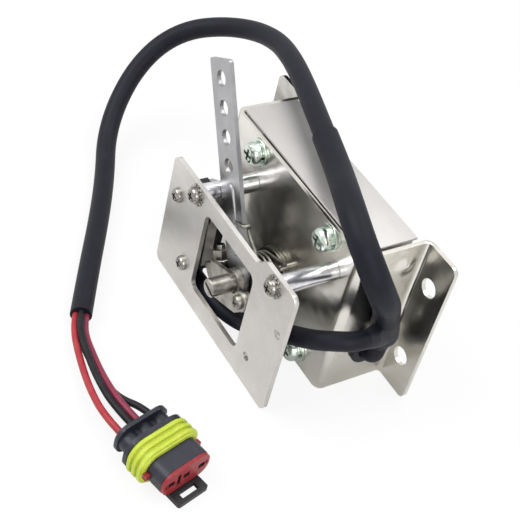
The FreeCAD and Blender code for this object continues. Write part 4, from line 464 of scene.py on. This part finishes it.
def spring_line():
    """The spring's wire: the eye round the lever's edge, the turns round the spool and the anchored leg."""
    coil_radius, coil_front, coil_back = 7.2, -38.8, -30.8
    turns, steps = 5, 110
    leg_angle = math.radians(79.5)
    leg_length = 10.6
    leg_shares = (0.2, 0.6, 1.0)
    eye = [(3.0, -43.15, 20.4), (4.6, -43.15, 20.3), (6.2, -43.15, 20.1), (7.3, -42.9, 20.0),
           (7.45, -41.65, 19.9), (7.3, -40.4, 19.8), (6.3, -40.1, 19.4), (5.4, -40.1, 18.6), (5.3, -40.0, 17),
           (5.8, -39.6, 14.5), (6.8, -38.95, 11.5)]
    riser_heights = (8.5, 5, 2)
    line = eye + [(coil_radius, coil_front, height) for height in riser_heights]
    sweep = 2 * turns * math.pi - leg_angle
    for step in range(steps + 1):
        angle = sweep * step / steps
        line.append((coil_radius * math.cos(angle), coil_front + (coil_back - coil_front) * step / steps,
                     -coil_radius * math.sin(angle)))
    end = line[-1]
    for share in leg_shares:
        line.append((end[0] + leg_length * share * math.sin(leg_angle), coil_back,
                     end[2] - leg_length * share * math.cos(leg_angle)))
    return [metres(turned_place(*point)) for point in line]


def return_spring():
    """The return spring as one wire, from its eye at the lever round the spool to its anchored leg."""
    wire_radius = 0.6 * MM
    wire = round_line("return_spring_wire", spring_line(), wire_radius, order=4, steps_along=3,
                      steps_round=5)
    alone(wire)
    bpy.ops.object.convert(target="MESH")
    bpy.ops.object.shade_smooth()
    wire = bpy.context.object
    coated(wire, SPRING_STEEL_SHADE_DARKENED)
    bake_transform(wire)
    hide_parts("return_spring")


def copied(node, name):
    """A new piece with a solid's own shape, welded, to be reshaped and to stand for it."""
    piece = bpy.data.objects.new(name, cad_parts[node].data.copy())
    bpy.context.scene.collection.objects.link(piece)
    alone(piece)
    bpy.ops.object.mode_set(mode="EDIT")
    bpy.ops.mesh.select_all(action="SELECT")
    bpy.ops.mesh.remove_doubles(threshold=WELD_DISTANCE)
    bpy.ops.object.mode_set(mode="OBJECT")
    return piece


def tapered(piece, end, onward, radius):
    """Draws one arm of the junction in towards its end, down to the cable that leaves there."""
    run, slack, reach, tuck = 6.0, 1.0, 7.5, 0.1
    end = Vector(end)
    way = (Vector(onward) - end).normalized()
    for vertex in piece.data.vertices:
        place = vertex.co / MM - end
        along = place.dot(way)
        aside = place - way * along
        if -run < along < slack and radius < aside.length < reach:
            share = (along + run) / (run + slack)
            wanted = aside.length + (radius - tuck - aside.length) * share
            vertex.co = (end + way * along + aside * (wanted / aside.length)) * MM


def junction():
    """The rubber junction, its ball and arms run together into one soft moulding."""
    piece = copied("cable_junction", "soft_junction")
    reshaped(piece, "REMESH", mode="VOXEL", voxel_size=0.3 * MM)
    reshaped(piece, "SMOOTH", iterations=40, factor=0.7)
    tapered(piece, SLEEVE_END, SLEEVE_ROUTE[1], SLEEVE_RADIUS)
    tapered(piece, BRANCH_START, BRANCH_ROUTE[1], BRANCH_RADIUS)
    bpy.ops.object.shade_smooth()
    finished(piece, RUBBER, UNIT, "black_rubber", "cable_junction")


# How far each web screw's head lies from its place in the frame, across and up, and where the web's front
# is, in millimetres. The keys say whether the screw is on the right and whether it is in the upper row.
WEB_SCREW_SHIFTS = {(False, True): (0.3, -1.9), (True, True): (-0.8, -1.9),
                    (False, False): (0.3, -1.6), (True, False): (-1.7, -1.6)}
WEB_SCREW_NODES = ["bracket_screws", "spring_washers", "flat_washers"]
WEB_FRONT = -27.45


def web_screws():
    """The four web screws and their washers: what is in front of the web is shifted, the rest stays."""
    for node in WEB_SCREW_NODES:
        piece = copied(node, "web_" + node)
        for vertex in piece.data.vertices:
            if vertex.co.y < WEB_FRONT * MM:
                across, up = WEB_SCREW_SHIFTS[vertex.co.x > 0, vertex.co.z > 0]
                vertex.co += Vector(metres((across, 0, up)))
        dress(piece, node, ZINC_GREEN)
        finished(piece, ZINC_GREEN, UNIT, "plated_steel", node)


def slab(low, high, turn=None, about=(0, 0, 0)):
    """A block between two corners in millimetres, set from a point and turned there where asked."""
    nothing_selected()
    turn = turn or Matrix()
    middle = Vector([(first + last) / 2 for first, last in zip(low, high)])
    place = Vector(metres(about)) + turn @ Vector(metres(middle))
    bpy.ops.mesh.primitive_cube_add(size=1, location=place, rotation=turn.to_euler())
    piece = bpy.context.object
    piece.scale = metres([last - first for first, last in zip(low, high)])
    bpy.ops.object.transform_apply(location=True, rotation=True, scale=True)
    return piece


def folded_lid():
    """The box's lid: a sheet between the bracket's walls behind its web, with a fold down at each side."""
    half_width, front, back, top, bottom = 36.25, -25.6, -4.8, 31.0, 19.0
    sheet, fold_in = 0.9, 1.4
    edge_radius, edge_from = 0.15 * MM, math.radians(60)
    piece = slab((-half_width, front, top - sheet), (half_width, back, top))
    for sign in (-1, 1):
        outer, inner = sign * (half_width - fold_in), sign * (half_width - fold_in - sheet)
        fold = slab((min(outer, inner), front, bottom), (max(outer, inner), back, top - sheet / 2))
        fold.select_set(True)
        piece.select_set(True)
        bpy.context.view_layer.objects.active = piece
        bpy.ops.object.join()
    piece.name = "folded_lid"
    reshaped(piece, "BEVEL", width=edge_radius, segments=ROUNDING_STEPS, angle_limit=edge_from)
    bpy.ops.object.shade_smooth_by_angle(angle=SHADED_SHARP_FROM)
    finished(piece, LID, UNIT, "lid_steel", "box_lid")


def dimples():
    """The low rounded dimple pressed out of each of the bracket's walls."""
    wall, back, up = 38.48, -8.2, 22.3
    half_side, divisions, sheet = 5.6, 48, 0.3
    rise, spread_across, spread_up = 0.98, 2.75, 3.0
    for side, sign in (("left", -1), ("right", 1)):
        nothing_selected()
        bpy.ops.mesh.primitive_grid_add(x_subdivisions=divisions, y_subdivisions=divisions,
                                        size=2 * half_side * MM, location=metres((sign * wall, back, up)),
                                        rotation=(0, sign * math.pi / 2, 0))
        piece = bpy.context.object
        piece.name = "wall_dimple_" + side
        bpy.ops.object.transform_apply(location=True, rotation=True, scale=True)
        for vertex in piece.data.vertices:
            across, level = vertex.co.y / MM - back, vertex.co.z / MM - up
            fall = math.exp(-(across / spread_across) ** 2 - (level / spread_up) ** 2)
            vertex.co.x += sign * rise * MM * fall
        reshaped(piece, "SOLIDIFY", thickness=sheet * MM, offset=-1)
        bpy.ops.object.shade_smooth_by_angle(angle=SHADED_SHARP_FROM)
        finished(piece, BRACKET, UNIT, "satin_steel")


def painted_socket_shade():
    """Near-black hollow blocks behind the sockets and the key slot of the plug's red lock: painted shade for
    their dark insides.
    """
    plug_place, plug_turn = (35.5, -92.5, -22.7), math.radians(14.2)
    turn = Matrix.Rotation(plug_turn, 4, "Z")
    forward = turn @ Vector((1, 0, 0))
    front, depth = 21.5, 3.6
    rim, hollow, facing = 0.35, 1.6, 0.9
    pitch, socket_width, socket_height = 6, 2.6, 2.2
    key_slot_width, key_slot_height = 1.4, 4.8
    openings = [(-pitch, socket_width, socket_height), (0, socket_width, socket_height),
                (pitch, socket_width, socket_height), (-pitch / 2, key_slot_width, key_slot_height)]
    for number, (across, width, height) in enumerate(openings, start=1):
        piece = slab((front - depth, across - width / 2, -height / 2),
                     (front, across + width / 2, height / 2), turn, plug_place)
        piece.name = "plug_socket_shade_" + str(number)
        bpy.ops.object.mode_set(mode="EDIT")
        bpy.ops.mesh.select_mode(type="FACE")
        bpy.ops.mesh.select_all(action="DESELECT")
        bpy.ops.object.mode_set(mode="OBJECT")
        for face in piece.data.polygons:
            face.select = face.normal.dot(forward) > facing
        bpy.ops.object.mode_set(mode="EDIT")
        bpy.ops.mesh.inset(thickness=rim * MM, depth=-hollow * MM)
        bpy.ops.object.mode_set(mode="OBJECT")
        finished(piece, SOCKET_SHADE_BLACK, UNIT, "plug_black")


return_spring()
junction()
web_screws()
folded_lid()
dimples()
painted_socket_shade()

WHITE = rgb(1, 1, 1)
# The floor's side in metres, its tone, and the share of it that the camera sees as plain white
FLOOR_SIZE = 6.0
FLOOR_TONE = 0.86
FLOOR_WHITENESS = 0.86
# The world's strength where it is seen, also in metal and through glass, and where it only lights
SEEN_SKY = 1.0
LIGHTING_SKY = 0.36
# Each lamp's name, place and side in metres, and power in watts
LAMPS = [("key", (-0.35, -0.55, 0.75), 0.7, 6.4), ("side", (0.75, -0.2, 0.45), 0.6, 3.4),
         ("top", (0.0, 0.35, 0.9), 0.8, 4.8)]
LAMPS_AIM = (0, -0.03, 0)
# The camera's place, lens and sensor in millimetres, the way it looks and the way its right side points
CAMERA_PLACE = (220, -223.5, 260.4)
CAMERA_AHEAD = (-0.56, 0.485, -0.672)
CAMERA_RIGHT = (0.495, 0.846, 0.197)
CAMERA_LENS = 81.76
CAMERA_SENSOR = 36.0


def studio_floor():
    """The pale floor, which keeps a light shadow."""
    nothing_selected()
    bpy.ops.mesh.primitive_plane_add(size=FLOOR_SIZE, location=(0, 0, cad_low.z))
    floor = bpy.context.object
    floor.name = "studio_floor"
    pale = bpy.data.materials.new("pale floor")
    pale.use_nodes = True
    graph = Graph(pale.node_tree)
    graph.tree.nodes.clear()
    rays = graph.node("ShaderNodeLightPath").outputs
    tone = rgb(FLOOR_TONE, FLOOR_TONE, FLOOR_TONE)
    matt = graph.node("ShaderNodeBsdfDiffuse", None, {"Color": tone})
    glow = graph.node("ShaderNodeEmission", None, {"Color": WHITE, "Strength": 1.0})
    seen = Number(graph, rays["Is Camera Ray"]) * FLOOR_WHITENESS
    mixed = graph.node("ShaderNodeMixShader", None, {0: seen, 1: matt.outputs[0], 2: glow.outputs[0]})
    graph.node("ShaderNodeOutputMaterial", None, {"Surface": mixed.outputs[0]})
    floor.data.materials.append(pale)


def studio_sky():
    """The white surround, weaker where it only lights."""
    world = bpy.data.worlds.new("studio")
    bpy.context.scene.world = world
    world.use_nodes = True
    graph = Graph(world.node_tree)
    rays = graph.node("ShaderNodeLightPath").outputs
    seen = Number(graph, rays["Is Camera Ray"])
    for kind in ("Is Transmission Ray", "Is Glossy Ray"):
        seen = seen.or_more(rays[kind])
    sky = graph.tree.nodes["Background"]
    graph.feed(sky.inputs["Color"], WHITE)
    graph.feed(sky.inputs["Strength"], seen * (SEEN_SKY - LIGHTING_SKY) + LIGHTING_SKY)


def studio_lamps():
    """The soft lamps, all aimed at the part."""
    for name, place, side, power in LAMPS:
        light = bpy.data.lights.new(name, "AREA")
        light.shape = "SQUARE"
        light.size = side
        light.energy = power
        lamp = bpy.data.objects.new(name, light)
        lamp.location = place
        lamp.rotation_euler = (Vector(LAMPS_AIM) - Vector(place)).to_track_quat("-Z", "Y").to_euler()
        bpy.context.scene.collection.objects.link(lamp)


def photo_camera():
    """The camera at the photograph's view."""
    lens = bpy.data.cameras.new("photo camera")
    lens.sensor_width = CAMERA_SENSOR
    lens.lens = CAMERA_LENS
    camera = bpy.data.objects.new("photo camera", lens)
    ahead = Vector(CAMERA_AHEAD).normalized()
    up = Vector(CAMERA_RIGHT).normalized().cross(ahead).normalized()
    right = ahead.cross(up)
    turn = Matrix((right, up, -ahead)).transposed().to_4x4()
    camera.matrix_world = Matrix.Translation(metres(CAMERA_PLACE)) @ turn
    bpy.context.scene.collection.objects.link(camera)
    bpy.context.scene.camera = camera


studio_floor()
studio_sky()
studio_lamps()
photo_camera()
bpy.context.scene.view_settings.view_transform = "Standard"
